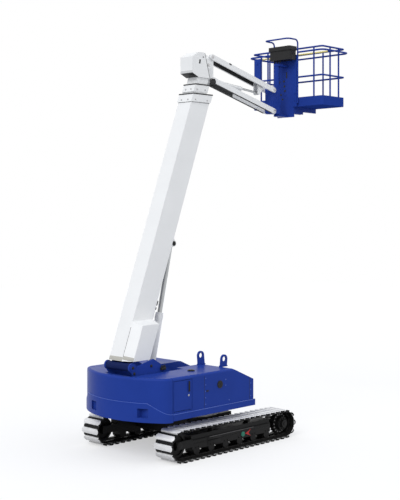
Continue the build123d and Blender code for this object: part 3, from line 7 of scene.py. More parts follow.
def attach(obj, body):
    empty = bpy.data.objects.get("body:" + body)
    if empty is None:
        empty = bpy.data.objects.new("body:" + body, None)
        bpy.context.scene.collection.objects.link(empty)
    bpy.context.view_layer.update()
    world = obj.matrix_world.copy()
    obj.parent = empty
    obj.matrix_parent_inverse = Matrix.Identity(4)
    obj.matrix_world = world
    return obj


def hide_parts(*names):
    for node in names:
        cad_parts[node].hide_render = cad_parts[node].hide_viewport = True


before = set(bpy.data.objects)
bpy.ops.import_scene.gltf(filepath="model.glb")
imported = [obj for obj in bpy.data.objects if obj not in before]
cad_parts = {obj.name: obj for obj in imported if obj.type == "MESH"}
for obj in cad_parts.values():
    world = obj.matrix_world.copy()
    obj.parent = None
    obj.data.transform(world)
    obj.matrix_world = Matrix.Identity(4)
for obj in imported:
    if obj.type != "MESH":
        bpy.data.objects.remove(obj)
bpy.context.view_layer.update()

# Camera: at the height of a first-floor window, behind and to the right of the machine, held
# level, with a long lens and the horizon moved up in the picture.
camera_place = (-12.875, -12.001, 3.8)
camera_turn = (radians(90), 0, radians(44.108 - 90))
bpy.ops.object.camera_add(location=camera_place, rotation=camera_turn)
camera = bpy.context.object
camera.name = "camera"
camera.data.lens = 74.54
camera.data.shift_y = -0.0799
camera.data.clip_end = 200
bpy.context.scene.camera = camera

# Studio: a pale floor under a white sky, one broad lamp high behind the camera's left shoulder
# and a weak one from the other side, so that every face keeps its own colour.
sky_tint, sky_strength = (0.93, 0.96, 1.0, 1), 0.70
sky_white = (1, 1, 1, 1)
floor_size, floor_grey, floor_glow = 60, (0.5, 0.5, 0.505, 1), 0.5
bpy.context.scene.view_settings.view_transform = "Standard"


def seen_directly(tree):
    """1 where the camera, a mirror or clear glass looks at a surface, 0 where it only gives light."""
    rays = tree.nodes.new("ShaderNodeLightPath")
    seen = rays.outputs["Is Camera Ray"]
    for ray in ("Is Glossy Ray", "Is Transmission Ray"):
        either = tree.nodes.new("ShaderNodeMath")
        either.operation = "MAXIMUM"
        tree.links.new(seen, either.inputs[0])
        tree.links.new(rays.outputs[ray], either.inputs[1])
        seen = either.outputs[0]
    return seen


studio = bpy.data.worlds.new("studio")
bpy.context.scene.world = studio
studio.use_nodes = True
sky = studio.node_tree
sky.nodes.clear()
sky_out = sky.nodes.new("ShaderNodeOutputWorld")
sky_mix = sky.nodes.new("ShaderNodeMixShader")
sky_light = sky.nodes.new("ShaderNodeBackground")
sky_light.inputs["Color"].default_value = sky_tint
sky_light.inputs["Strength"].default_value = sky_strength
sky_seen = sky.nodes.new("ShaderNodeBackground")
sky_seen.inputs["Color"].default_value = sky_white
sky.links.new(seen_directly(sky), sky_mix.inputs["Fac"])
sky.links.new(sky_light.outputs[0], sky_mix.inputs[1])
sky.links.new(sky_seen.outputs[0], sky_mix.inputs[2])
sky.links.new(sky_mix.outputs[0], sky_out.inputs["Surface"])

for lamp_name, strength, spread, tilt, turn in (("key", 1.40, 38, 50, -72), ("fill", 0.45, 70, 62, 40)):
    bpy.ops.object.light_add(type="SUN", rotation=(radians(tilt), 0, radians(turn)))
    lamp = bpy.context.object
    lamp.name = "lamp_" + lamp_name
    lamp.data.energy = strength
    lamp.data.angle = radians(spread)

bpy.ops.mesh.primitive_plane_add(size=floor_size)
floor = bpy.context.object
floor.name = "floor"
floor_paint = bpy.data.materials.new("floor_paint")
floor_paint.use_nodes = True
tree = floor_paint.node_tree
tree.nodes.clear()
out = tree.nodes.new("ShaderNodeOutputMaterial")
add = tree.nodes.new("ShaderNodeAddShader")
matt = tree.nodes.new("ShaderNodeBsdfDiffuse")
matt.inputs["Color"].default_value = floor_grey
glow = tree.nodes.new("ShaderNodeEmission")
level = tree.nodes.new("ShaderNodeMath")
level.operation = "MULTIPLY"
level.inputs[1].default_value = floor_glow
tree.links.new(seen_directly(tree), level.inputs[0])
tree.links.new(level.outputs[0], glow.inputs["Strength"])
tree.links.new(matt.outputs[0], add.inputs[0])
tree.links.new(glow.outputs[0], add.inputs[1])
tree.links.new(add.outputs[0], out.inputs["Surface"])
floor.data.materials.append(floor_paint)


# Tracks: pressed steel shoes bolted to forged links, one closed loop a side. The ground keeps the
# outer faces of the shoes bright, and the gaps and links between them stay dark.
def calc(tree, operation, *values):
    node = tree.nodes.new("ShaderNodeMath")
    node.operation = operation
    for number, value in enumerate(values):
        if isinstance(value, (int, float)):
            node.inputs[number].default_value = value
        else:
            tree.links.new(value, node.inputs[number])
    return node.outputs[0]


def ramp(tree, value, low, high, to_low=0.0, to_high=1.0):
    """A value moved from one range to another."""
    node = tree.nodes.new("ShaderNodeMapRange")
    node.inputs["From Min"].default_value = low
    node.inputs["From Max"].default_value = high
    node.inputs["To Min"].default_value = to_low
    node.inputs["To Max"].default_value = to_high
    tree.links.new(value, node.inputs["Value"])
    return node.outputs[0]


def noise(tree, vector, scale, detail=3.0, rough=0.55):
    node = tree.nodes.new("ShaderNodeTexNoise")
    node.inputs["Scale"].default_value = scale
    node.inputs["Detail"].default_value = detail
    node.inputs["Roughness"].default_value = rough
    tree.links.new(vector, node.inputs["Vector"])
    return node.outputs["Fac"]


def mixed(tree, mask, first, second):
    """Two colours mixed by a mask."""
    node = tree.nodes.new("ShaderNodeMix")
    node.data_type = "RGBA"
    tree.links.new(mask, node.inputs["Factor"])
    for socket, value in ((6, first), (7, second)):
        if isinstance(value, tuple):
            node.inputs[socket].default_value = (*value, 1)
        else:
            tree.links.new(value, node.inputs[socket])
    return node.outputs[2]


grain_scale, speckle_scale = 420.0, 55.0
surface_wear = bpy.data.node_groups.new("surface_wear", "ShaderNodeTree")
for way, sockets in (("INPUT", ("Scale", "Amount", "Top")), ("OUTPUT", ("Cloud", "Grain", "Dust"))):
    for socket in sockets:
        surface_wear.interface.new_socket(name=socket, in_out=way, socket_type="NodeSocketFloat")
wear_in = surface_wear.nodes.new("NodeGroupInput")
wear_out = surface_wear.nodes.new("NodeGroupOutput")
spot = surface_wear.nodes.new("ShaderNodeTexCoord").outputs["Object"]
cloud = surface_wear.nodes.new("ShaderNodeTexNoise")
cloud.inputs["Detail"].default_value = 4
surface_wear.links.new(spot, cloud.inputs["Vector"])
surface_wear.links.new(wear_in.outputs["Scale"], cloud.inputs["Scale"])
grain = noise(surface_wear, spot, grain_scale, 2.0)
split = surface_wear.nodes.new("ShaderNodeSeparateXYZ")
surface_wear.links.new(spot, split.inputs[0])
height = surface_wear.nodes.new("ShaderNodeMapRange")
surface_wear.links.new(split.outputs["Z"], height.inputs["Value"])
surface_wear.links.new(wear_in.outputs["Top"], height.inputs["From Max"])
height.inputs["To Min"].default_value = 1.0
height.inputs["To Max"].default_value = 0.0
speckle = ramp(surface_wear, noise(surface_wear, spot, speckle_scale, 6.0, 0.7), 0.42, 0.68)
dust = calc(surface_wear, "MULTIPLY", height.outputs[0], speckle)
dust = calc(surface_wear, "MULTIPLY", dust, wear_in.outputs["Amount"])
surface_wear.links.new(cloud.outputs["Fac"], wear_out.inputs["Cloud"])
surface_wear.links.new(grain, wear_out.inputs["Grain"])
surface_wear.links.new(dust, wear_out.inputs["Dust"])


def new_finish(name):
    """A new material with its nodes and its main shader."""
    material = bpy.data.materials.new(name)
    material.use_nodes = True
    return material, material.node_tree, material.node_tree.nodes["Principled BSDF"]


def put_wear(tree, scale, amount, top):
    """The wear group in a material: cloud size, how much dust, and how high the dust lies."""
    node = tree.nodes.new("ShaderNodeGroup")
    node.node_tree = surface_wear
    for socket, value in (("Scale", scale), ("Amount", amount), ("Top", top)):
        node.inputs[socket].default_value = value
    return node


def bumped(tree, shader, height_value, strength, distance):
    node = tree.nodes.new("ShaderNodeBump")
    node.inputs["Strength"].default_value = strength
    node.inputs["Distance"].default_value = distance
    tree.links.new(height_value, node.inputs["Height"])
    tree.links.new(node.outputs[0], shader.inputs["Normal"])


def enamel(name, colour, shade, rough, gloss, orange_peel=0.05,
           dust_colour=(0.1, 0.1, 0.1), dust_amount=0.0, dust_top=1.0):
    """Gloss or satin paint: a little cloudy, with a fine skin, and dust towards the ground."""
    material, tree, shader = new_finish(name)
    wear = put_wear(tree, scale=2.3, amount=dust_amount, top=dust_top)
    base = mixed(tree, ramp(tree, wear.outputs["Cloud"], 0.3, 0.7), colour, shade)
    coat = mixed(tree, wear.outputs["Dust"], base, dust_colour)
    tree.links.new(coat, shader.inputs["Base Color"])
    skin = ramp(tree, wear.outputs["Cloud"], 0.3, 0.7, rough - 0.04, rough + 0.05)
    dulled = calc(tree, "MULTIPLY", wear.outputs["Dust"], 0.4)
    tree.links.new(calc(tree, "ADD", skin, dulled), shader.inputs["Roughness"])
    shader.inputs["Specular IOR Level"].default_value = gloss
    bumped(tree, shader, wear.outputs["Grain"], orange_peel, 0.0006)
    return material


def softened(piece, width, segments=2, sharp=35):
    """Rounds the sharp edges of a finished shape and smooths its round faces."""
    bpy.context.view_layer.objects.active = piece
    edge = piece.modifiers.new("edge", "BEVEL")
    edge.width = width
    edge.segments = segments
    edge.limit_method = "ANGLE"
    edge.angle_limit = radians(sharp)
    bpy.ops.object.modifier_apply(modifier=edge.name)
    bpy.ops.object.shade_smooth_by_angle(angle=radians(sharp))
    return piece


def block(name, low, high, width, segments=2):
    """A plate or block between two corners, its edges rounded."""
    bpy.ops.mesh.primitive_cube_add(size=1, location=[(a + b) / 2 for a, b in zip(low, high)])
    piece = bpy.context.object
    piece.name = name
    piece.scale = [b - a for a, b in zip(low, high)]
    bpy.ops.object.transform_apply()
    return softened(piece, width, segments)


def bar(name, start, end, radius, width, sides=24):
    """A round bar or disc from one point to another, its rims rounded."""
    start, end = Vector(start), Vector(end)
    way = end - start
    bpy.ops.mesh.primitive_cylinder_add(vertices=sides, radius=radius, depth=way.length,
                                        location=(start + end) / 2,
                                        rotation=way.to_track_quat("Z", "Y").to_euler())
    piece = bpy.context.object
    piece.name = name
    bpy.ops.object.transform_apply()
    return softened(piece, width)


def copied(piece, matrix):
    """Another one of a piece, with its own mesh, moved by the matrix."""
    other = piece.copy()
    other.data = piece.data.copy()
    other.data.transform(matrix)
    bpy.context.collection.objects.link(other)
    return other


def joined(name, pieces, material=None):
    """Several shapes as one piece."""
    bpy.ops.object.select_all(action="DESELECT")
    for piece in pieces:
        piece.select_set(True)
    bpy.context.view_layer.objects.active = pieces[0]
    bpy.ops.object.join()
    pieces[0].name = name
    if material is not None:
        pieces[0].data.materials.clear()
        pieces[0].data.materials.append(material)
    return pieces[0]


slew_x = -0.7141
gauge = 1.69
idler_x, idler_tip = slew_x - 1.207, 0.250
sprocket_x, sprocket_tip = slew_x + 1.222, 0.236
shoe_count, shoe_width, shoe_share = 48, 0.400, 0.71
link_depth = 0.050
lean = asin((idler_tip - sprocket_tip) / (sprocket_x - idler_x))
flat_run = (sprocket_x - idler_x) * cos(lean)
front_run = (pi - 2 * lean) * (sprocket_tip - link_depth)
rear_run = (pi + 2 * lean) * (idler_tip - link_depth)
shoe_pitch = (2 * flat_run + front_run + rear_run) / shoe_count
pad_half, pad_depth, pad_corner = shoe_share * shoe_pitch / 2, 0.030, 0.026
plate_half, plate_side, plate_top, plate_foot = 0.56 * shoe_pitch, 0.185, -0.0295, -0.0385
link_half, link_y, link_thick, link_top, link_foot = 0.44 * shoe_pitch, 0.072, 0.022, -0.0380, -0.0575
pin_side, pin_radius, pin_z = 0.098, 0.009, -0.048


def round_wheel(wheel_x, tip, turn):
    """Middle and way of a shoe that lies on an end wheel, at an angle round it."""
    reach = sqrt(tip**2 - pad_half**2)
    middle = Vector((wheel_x, 0, tip)) + reach * Vector((cos(turn), 0, sin(turn)))
    return middle, Vector((-sin(turn), 0, cos(turn)))


def shoe_seat(along):
    """Middle of a shoe's outer face and its way, at a length along the loop.

    The shoes are hinged below their outer faces, so they spread apart round the end wheels.
    """
    if along < flat_run:
        return Vector((idler_x + along, 0, 0)), Vector((1, 0, 0))
    along -= flat_run
    if along < front_run:
        return round_wheel(sprocket_x, sprocket_tip, along / (sprocket_tip - link_depth) - pi / 2)
    along -= front_run
    top = pi / 2 - 2 * lean
    if along < flat_run:
        back = Vector((-sin(top), 0, cos(top)))
        start = Vector((sprocket_x + sprocket_tip * cos(top), 0, sprocket_tip + sprocket_tip * sin(top)))
        return start + along * back, back
    return round_wheel(idler_x, idler_tip, top + (along - flat_run) / (idler_tip - link_depth))


pad_bright, pad_grey = (0.86, 0.86, 0.87), (0.78, 0.78, 0.79)
scrape_grey, soil = (0.55, 0.55, 0.56), (0.30, 0.27, 0.24)
pad_steel, tree, shader = new_finish("pad_steel")
wear = put_wear(tree, scale=14.0, amount=0.55, top=0.35)
stretched = tree.nodes.new("ShaderNodeMapping")
stretched.inputs["Scale"].default_value = (60, 4, 60)
tree.links.new(tree.nodes.new("ShaderNodeTexCoord").outputs["Object"], stretched.inputs["Vector"])
scrape = ramp(tree, noise(tree, stretched.outputs[0], 2.0, 5.0, 0.6), 0.40, 0.62)
steel = mixed(tree, ramp(tree, wear.outputs["Cloud"], 0.3, 0.7), pad_bright, pad_grey)
steel = mixed(tree, calc(tree, "MULTIPLY", scrape, 0.3), steel, scrape_grey)
tree.links.new(mixed(tree, wear.outputs["Dust"], steel, soil), shader.inputs["Base Color"])
tree.links.new(ramp(tree, scrape, 0, 1, 0.36, 0.55), shader.inputs["Roughness"])
shader.inputs["Metallic"].default_value = 0.12
bumped(tree, shader, scrape, 0.12, 0.0008)
chassis_black = enamel("chassis_black", (0.0060, 0.0060, 0.0065), (0.010, 0.010, 0.0105), 0.42, 0.12,
                       orange_peel=0.15, dust_colour=(0.05, 0.045, 0.040), dust_amount=0.3, dust_top=0.4)


def track_shoe():
    """One pad with cut corners on its plate, and the two links behind it; outer face at height 0."""
    bpy.ops.mesh.primitive_cube_add(size=1, location=(0, 0, -pad_depth / 2))
    pad = bpy.context.object
    pad.scale = (2 * pad_half, shoe_width, pad_depth)
    bpy.ops.object.transform_apply()
    bpy.ops.object.mode_set(mode="EDIT")
    bpy.ops.mesh.select_all(action="DESELECT")
    bpy.ops.mesh.select_mode(type="EDGE")
    bpy.ops.object.mode_set(mode="OBJECT")
    for edge in pad.data.edges:
        first, second = (pad.data.vertices[number].co for number in edge.vertices)
        edge.select = abs(first.z - second.z) > pad_depth / 3
    bpy.ops.object.mode_set(mode="EDIT")
    bpy.ops.mesh.bevel(offset=pad_corner, segments=1, affect="EDGES")
    bpy.ops.object.mode_set(mode="OBJECT")
    softened(pad, 0.004)
    pad.data.materials.append(pad_steel)
    pad.data.materials.append(chassis_black)
    for face in pad.data.polygons:
        face.material_index = 1 if abs(face.normal.y) > 0.4 else 0
    dark = [block("plate", (-plate_half, -plate_side, plate_foot), (plate_half, plate_side, plate_top),
                  0.002, 1)]
    for y in (-link_y, link_y):
        dark.append(block("link", (-link_half, y - link_thick, link_foot),
                          (link_half, y + link_thick, link_top), 0.004, 1))
    dark.append(bar("link_pin", (link_half, -pin_side, pin_z), (link_half, pin_side, pin_z),
                    pin_radius, 0.002, 12))
    for piece in dark:
        piece.data.materials.append(chassis_black)
    return joined("track_shoe", [pad] + dark)


for side, sign in (("right", -1), ("left", 1)):
    shoe = track_shoe()
    made = []
    for number in range(shoe_count):
        middle, forward = shoe_seat((number + 0.5) * shoe_pitch)
        outward = Vector((forward.z, 0, -forward.x))
        seat = Matrix((forward, outward.cross(forward), outward)).transposed().to_4x4()
        made.append(copied(shoe, Matrix.Translation(middle + Vector((0, sign * gauge / 2, 0))) @ seat))
    bpy.data.objects.remove(shoe)
    shoes = joined("track_shoes_" + side, made)
    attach(shoes, "undercarriage")
    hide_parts("track_" + side)


# Side frames, hubs, idlers and rollers: welded and cast steel, painted satin black after
# assembly, dusty towards the ground. The slew ring's teeth and race stay bare.
def bare_metal(name, colour, shade, rough, scale):
    """Worn steel: cloudy, brushed by use, with brown dust low down."""
    brown_dust = (0.18, 0.15, 0.12)
    material, tree, shader = new_finish(name)
    wear = put_wear(tree, scale, amount=0.4, top=0.5)
    base = mixed(tree, ramp(tree, wear.outputs["Cloud"], 0.3, 0.7), colour, shade)
    coat = mixed(tree, wear.outputs["Dust"], base, brown_dust)
    tree.links.new(coat, shader.inputs["Base Color"])
    skin = ramp(tree, wear.outputs["Cloud"], 0.25, 0.75, rough - 0.07, rough + 0.1)
    tree.links.new(skin, shader.inputs["Roughness"])
    shader.inputs["Metallic"].default_value = 1.0
    bumped(tree, shader, wear.outputs["Grain"], 0.08, 0.0005)
    return material


def dressed(material, *names):
    """Gives solids of the frame their material."""
    for name in names:
        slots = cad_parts[name].data.materials
        slots.clear()
        slots.append(material)


for side in ("right", "left"):
    dressed(chassis_black, "track_frame_" + side, "travel_hub_" + side, "idler_" + side, "rollers_" + side,
            "sprocket_" + side)
dressed(chassis_black, "car_body", "lift_foot", "engine")
worn_steel = bare_metal("worn_steel", (0.36, 0.36, 0.37), (0.25, 0.25, 0.26), 0.42, 7.0)
dressed(worn_steel, "slew_ring")

# Bolts and plates of the running gear: hexagon heads on washers, under the same black paint. A pair
# holds each roller's axle, a ring of ten each final drive, and sixteen bare ones the sprocket's rim.
# The side frame has a hatch, a rib and a cap over the idler's axle, and the drive has a plug.
frame_face, plug_face = gauge / 2 + 0.105, gauge / 2 + 0.15
hub_face, rim_face = gauge / 2 + 0.108, gauge / 2 + 0.042
roller_count, roller_span, roller_z, axle_bolt_shift = 6, 1.64, 0.176, 0.032
hub_count, hub_circle = 10, 0.086
rim_count, rim_circle = 16, 0.148
plate_proud = 0.005
cap_radius, cap_proud = 0.058, 0.012
plug_radius, plug_proud = 0.03, 0.008


def set_on(master, places):
    """Copies of a shape made upright at the origin, each turned to face a direction at a place."""
    made = []
    for place, facing in places:
        turn = Vector(facing).to_track_quat("Z", "Y").to_matrix().to_4x4()
        made.append(copied(master, Matrix.Translation(place) @ turn))
    bpy.data.objects.remove(master)
    return made


def bolt_head(radius, height):
    """Hexagon head on its washer, standing on height 0."""
    washer = bar("washer", (0, 0, 0), (0, 0, 0.22 * height), 1.45 * radius, 0.05 * height, 20)
    head = bar("head", (0, 0, 0.2 * height), (0, 0, height), radius, 0.12 * height, 6)
    return joined("bolt", [washer, head])


def drive_circle(count, radius, y):
    """Places on a circle round the final drive's axle."""
    turns = [2 * pi * number / count for number in range(count)]
    return [(sprocket_x + radius * cos(turn), y, sprocket_tip + radius * sin(turn)) for turn in turns]


def side_span(sign, inner, outer):
    """Two distances from the middle, on the right (-1) or left (1) side, the lower one first."""
    return sorted((sign * inner, sign * outer))


for side, sign, rib_proud in (("right", -1, plate_proud), ("left", 1, plate_proud - 0.001)):
    outward = (0, sign, 0)
    places = []
    for number in range(roller_count):
        axle_x = slew_x + (number / (roller_count - 1) - 0.5) * roller_span
        for shift in (-axle_bolt_shift, axle_bolt_shift):
            places.append(((axle_x + shift, sign * frame_face, roller_z), outward))
    places += [(place, outward) for place in drive_circle(hub_count, hub_circle, sign * hub_face)]
    bolts = joined("frame_bolts_" + side, set_on(bolt_head(0.011, 0.011), places), chassis_black)
    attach(bolts, "undercarriage")
    places = [(place, outward) for place in drive_circle(rim_count, rim_circle, sign * rim_face)]
    rim_bolts = joined("sprocket_bolts_" + side, set_on(bolt_head(0.0085, 0.009), places), worn_steel)
    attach(rim_bolts, "undercarriage")
    near, far = side_span(sign, frame_face, frame_face + plate_proud)
    hatch = block("hatch", (slew_x - 0.60, near, 0.170), (slew_x - 0.30, far, 0.275), 0.002)
    near, far = side_span(sign, frame_face, frame_face + rib_proud)
    rib = block("rib", (slew_x - 0.90, near, 0.232), (slew_x + 0.86, far, 0.246), 0.002)
    cap = bar("cap", (idler_x, sign * frame_face, idler_tip),
              (idler_x, sign * (frame_face + cap_proud), idler_tip), cap_radius, 0.004, 32)
    plug = bar("plug", (sprocket_x, sign * plug_face, sprocket_tip),
               (sprocket_x, sign * (plug_face + plug_proud), sprocket_tip), plug_radius, 0.003)
    plates = joined("frame_plates_" + side, [hatch, rib, cap, plug], chassis_black)
    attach(plates, "undercarriage")

# Ledge edge: a strip of bare steel along the side frame's upper edge between idler and drive, where
# boots and stones rub the paint off. It is sunk into the frame and stands just proud of it.
ledge_rear, ledge_front, ledge_low, ledge_high = -1.263, -0.230, 0.2825, 0.2912
rubbed_steel = bare_metal("rubbed_steel", (0.13, 0.13, 0.135), (0.08, 0.08, 0.085), 0.5, 9.0)
for side, sign in (("right", -1), ("left", 1)):
    near, far = side_span(sign, frame_face - 0.004, frame_face + 0.0015)
    edge = block("ledge_edge_" + side, (ledge_rear, near, ledge_low), (ledge_front, far, ledge_high), 0.001)
    edge.data.materials.append(rubbed_steel)
    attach(edge, "undercarriage")

# Travel mark on the right side frame: a green disc and a red arrow head with a notched back, cut
# from thin enamelled sheet and riveted on, to tell one end of the tracks from the other.
mark_x, mark_y, mark_z = -0.487, -frame_face, 0.212
mark_thick, disc_radius = 0.006, 0.042
tip_x, back_x, notch_x, half_z = mark_x + 0.050, mark_x + 0.185, mark_x + 0.125, 0.052
mark_dust = {"dust_colour": (0.2, 0.2, 0.2), "dust_amount": 0.1, "dust_top": 0.4}
mark_green = enamel("mark_green", (0.020, 0.17, 0.115), (0.025, 0.19, 0.13), 0.4, 0.2, **mark_dust)
mark_red = enamel("mark_red", (0.50, 0.022, 0.025), (0.46, 0.03, 0.03), 0.4, 0.2, **mark_dust)
disc = bar("travel_disc", (mark_x, mark_y, mark_z), (mark_x, mark_y - mark_thick, mark_z),
           disc_radius, 0.001, 40)
disc.data.materials.append(mark_green)
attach(disc, "undercarriage")
bpy.ops.mesh.primitive_plane_add(size=1)
arrow = bpy.context.object
arrow.name = "travel_arrow"
for corner, (x, z) in zip((0, 1, 3, 2), ((tip_x, 0), (back_x, -half_z), (notch_x, 0), (back_x, half_z))):
    arrow.data.vertices[corner].co = (x, mark_y, mark_z + z)
bpy.ops.object.mode_set(mode="EDIT")
bpy.ops.mesh.select_all(action="SELECT")
bpy.ops.mesh.extrude_region_move(TRANSFORM_OT_translate={"value": (0, -mark_thick, 0)})
bpy.ops.mesh.select_all(action="SELECT")
bpy.ops.mesh.normals_make_consistent(inside=False)
bpy.ops.object.mode_set(mode="OBJECT")
softened(arrow, 0.001)
arrow.data.materials.append(mark_red)
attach(arrow, "undercarriage")

# Turntable: plate and castings under blue gloss enamel. The boom's foot is painted a darker blue, as
# painted shade for its shadow between the brackets. Slide rings, filler cap, outlet and control box are
# black moulded plastic, and two pins are turned steel.
deck_dust = (0.16, 0.15, 0.16)
blue_enamel = enamel("blue_enamel", (0.0160, 0.0450, 0.280), (0.0175, 0.049, 0.305), 0.34, 0.05,
                     dust_colour=deck_dust, dust_amount=0.04)
dressed(blue_enamel, "turntable_deck", "counterweight", "tail_casting", "right_hood", "left_hood",
        "side_door", "bracket_right", "bracket_left", "lifting_lugs", "pivot_pin")
# Painted shade: a darker blue for the boom's foot, which lies in shadow between the brackets.
painted_shade_blue = enamel("painted_shade_blue", (0.0060, 0.0140, 0.075), (0.0070, 0.016, 0.085), 0.5, 0.05,
                    dust_colour=deck_dust, dust_amount=0.04)
dressed(painted_shade_blue, "boom_foot")
# Black moulded plastic; the same black also serves as painted shade on the sheet under the head.
black_moulding_and_shade = enamel("black_moulding_and_shade", (0.010, 0.010, 0.011), (0.016, 0.016, 0.017), 0.5, 0.25,
                        orange_peel=0.4)
dressed(black_moulding_and_shade, "filler_cap", "side_outlet", "control_box", "base_wear_ring", "mid_wear_ring")
turned_steel = bare_metal("turned_steel", (0.5, 0.5, 0.51), (0.4, 0.4, 0.41), 0.32, 12.0)
dressed(turned_steel, "lift_foot_pin", "level_pin")

# Hood joints: the covers meet with a shadow gap filled by a black strip, and a column of round-head
# screws runs beside each, their heads a paler blue. The same on both sides; the front has screws only.
side_face, front_face = 0.938, slew_x + 0.496
joint_places = ((-0.650, 1.242), (0.400, 1.096))
strip_half, strip_foot, strip_sunk, strip_proud = 0.003, 0.740, 0.002, 0.0012
screw_shift, screw_heights, screw_gap = 0.028, (0.80, 0.90, 1.00, 1.10, 1.20), 0.02
lone_screws = ((-0.165, 1.13), (-0.165, 1.04), (-0.085, 0.80))
front_screws = [(y, z) for y in (0.30, 0.62, 0.90) for z in (0.80, 1.02)]
strips, screws = [], []
for sign in (-1, 1):
    near, far = side_span(sign, side_face - strip_sunk, side_face + strip_proud)
    for shift, top in joint_places:
        x = slew_x + shift
        strips.append(block("strip", (x - strip_half, near, strip_foot), (x + strip_half, far, top),
                            0.0008, 1))
        for z in screw_heights:
            if z < top - screw_gap:
                screws.append(((x + screw_shift, sign * side_face, z), (0, sign, 0)))
    for shift, z in lone_screws:
        screws.append(((slew_x + shift, sign * side_face, z), (0, sign, 0)))
    for y, z in front_screws:
        screws.append(((front_face, sign * y, z), (1, 0, 0)))
hood_strips = joined("hood_strips", strips, black_moulding_and_shade)
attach(hood_strips, "turntable")


def screw_head(radius, height):
    """Domed head with a flat rim, standing on height 0."""
    head = bar("screw", (0, 0, 0), (0, 0, height), radius, 0.6 * height, 16)
    rim = bar("rim", (0, 0, 0), (0, 0, 0.3 * height), 1.35 * radius, 0.1 * height, 16)
    return joined("screw", [head, rim])


# A paler blue: on the screw heads, and as a painted highlight on the sill and crease beads.
pale_blue_and_highlight = enamel("pale_blue_and_highlight", (0.045, 0.100, 0.43), (0.055, 0.115, 0.46), 0.3, 0.3)
hood_screws = joined("hood_screws", set_on(screw_head(0.0080, 0.005), screws), pale_blue_and_highlight)
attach(hood_screws, "turntable")

# Sill bead: a thin round bar along the deck's upper edge on each side, half sunk into it, in a paler
# blue: a painted highlight along the edge.
sill_rear, sill_front, sill_y, sill_z, sill_radius = slew_x - 1.330, slew_x + 0.524, 0.9475, 0.7365, 0.006
beads = []
for sign in (-1, 1):
    beads.append(bar("bead", (sill_rear, sign * sill_y, sill_z), (sill_front, sign * sill_y, sill_z),
                     sill_radius, 0.002, 16))
sill_highlight_beads = joined("sill_highlight_beads", beads, pale_blue_and_highlight)
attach(sill_highlight_beads, "turntable")

# Crease bead: a thin round bar along the counterweight's ledge, all round the tail, in a paler blue: a
# painted highlight on the ledge's upper edge. It follows the tail's arc, its rounded corners and its
# straight sides, as short bars.
arc_radius, corner_radius = 1.4497, 0.1900
bead_half, bead_rear, bead_front = 0.9450, slew_x - 1.7830, slew_x - 1.3393
bead_radius, bead_lift, bead_lap = 0.0055, 0.0015, 0.002
crease_z, slope_y, slope_fall = 0.9050, 0.6792, 0.61681
arc_x = bead_rear + arc_radius
corner_y = bead_half - corner_radius
corner_x = arc_x - sqrt((arc_radius - corner_radius)**2 - corner_y**2)
corner_turn = asin(corner_y / (arc_radius - corner_radius))
slope_turn = asin(slope_y / arc_radius)
corner_steps = 8
plan = []
for first, last, count in ((0, slope_turn, 6), (slope_turn, corner_turn, 2)):
    for number in range(count):
        turn = first + (last - first) * number / count
        plan.append((arc_x - arc_radius * cos(turn), arc_radius * sin(turn)))
for number in range(corner_steps + 1):
    turn = corner_turn + (pi / 2 - corner_turn) * number / corner_steps
    plan.append((corner_x - corner_radius * cos(turn), corner_y + corner_radius * sin(turn)))
plan.append((bead_front, bead_half))
beads = []
for sign in (-1, 1):
    points = []
    for x, y in plan:
        crest = crease_z - slope_fall * max(0, y - slope_y)
        points.append(Vector((x, sign * y, crest + bead_lift)))
    for start, end in zip(points, points[1:]):
        lap = bead_lap * (end - start).normalized()
        beads.append(bar("bead", start - lap, end + lap, bead_radius, 0.001, 10))
crease_highlight_bead = joined("crease_highlight_bead", beads, pale_blue_and_highlight)
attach(crease_highlight_bead, "turntable")

# Door grip and lock: a black painted plate on the service door's grip, and below it a round lock
# of turned steel, its barrel standing out of its collar. Both are screwed to the door.
grip_x, grip_half, grip_out, grip_in = slew_x - 0.997, 0.017, -0.956, -0.951
grip_low, grip_high, lock_z = 1.046, 1.204, 0.990
door_grip = block("door_grip", (grip_x - grip_half, grip_out, grip_low),
                  (grip_x + grip_half, grip_in, grip_high), 0.002)
door_grip.data.materials.append(chassis_black)
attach(door_grip, "side_door")
lock = bar("lock", (grip_x, -0.937, lock_z), (grip_x, -0.945, lock_z), 0.015, 0.002, 28)
barrel = bar("barrel", (grip_x, -0.944, lock_z), (grip_x, -0.949, lock_z), 0.008, 0.001, 20)
door_lock = joined("door_lock", [lock, barrel], turned_steel)
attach(door_lock, "side_door")

# Hood fittings: latches with paddles, ribs and a top disc on the filler cap, and slats in a dished
# rim on the round outlet. All are black moulded plastic, clipped or screwed to the covers.
latch_z, latch_half_x, latch_half_z, latch_proud = 1.003, 0.026, 0.011, 0.009
paddle_sunk, paddle_proud, paddle_half_z = 0.008, 0.014, 0.006
latch_places = ((-1, -0.585), (1, -0.585), (1, -1.000), (1, 0.250))
cap_x, cap_y, cap_ribs, rib_circle = slew_x - 0.630, -0.630, 10, 0.053
rib_foot, rib_top, cap_top = 1.285, 1.297, 1.304
outlet_x, outlet_z, outlet_reach = slew_x - 0.300, 1.070, 0.052
slat_count, slat_step, slat_half, slat_out, slat_in = 5, 0.019, 0.004, -0.953, -0.946
rim_radius, rim_depth, rim_y, rim_width, rim_slope, rim_sunk = 0.061, 0.013, -0.9465, 0.007, 0.003, 0.008
fittings = []
for sign, shift in latch_places:
    x = slew_x + shift
    near, far = side_span(sign, side_face, side_face + latch_proud)
    fittings.append(block("latch", (x - latch_half_x, near, latch_z - latch_half_z),
                          (x + latch_half_x, far, latch_z + latch_half_z), 0.003))
    near, far = side_span(sign, side_face + paddle_sunk, side_face + paddle_proud)
    fittings.append(block("paddle", (x - 0.018, near, latch_z - paddle_half_z),
                          (x + 0.006, far, latch_z + paddle_half_z), 0.002))
fittings.append(bar("cap_top", (cap_x, cap_y, rib_top), (cap_x, cap_y, cap_top), 0.044, 0.004, 40))
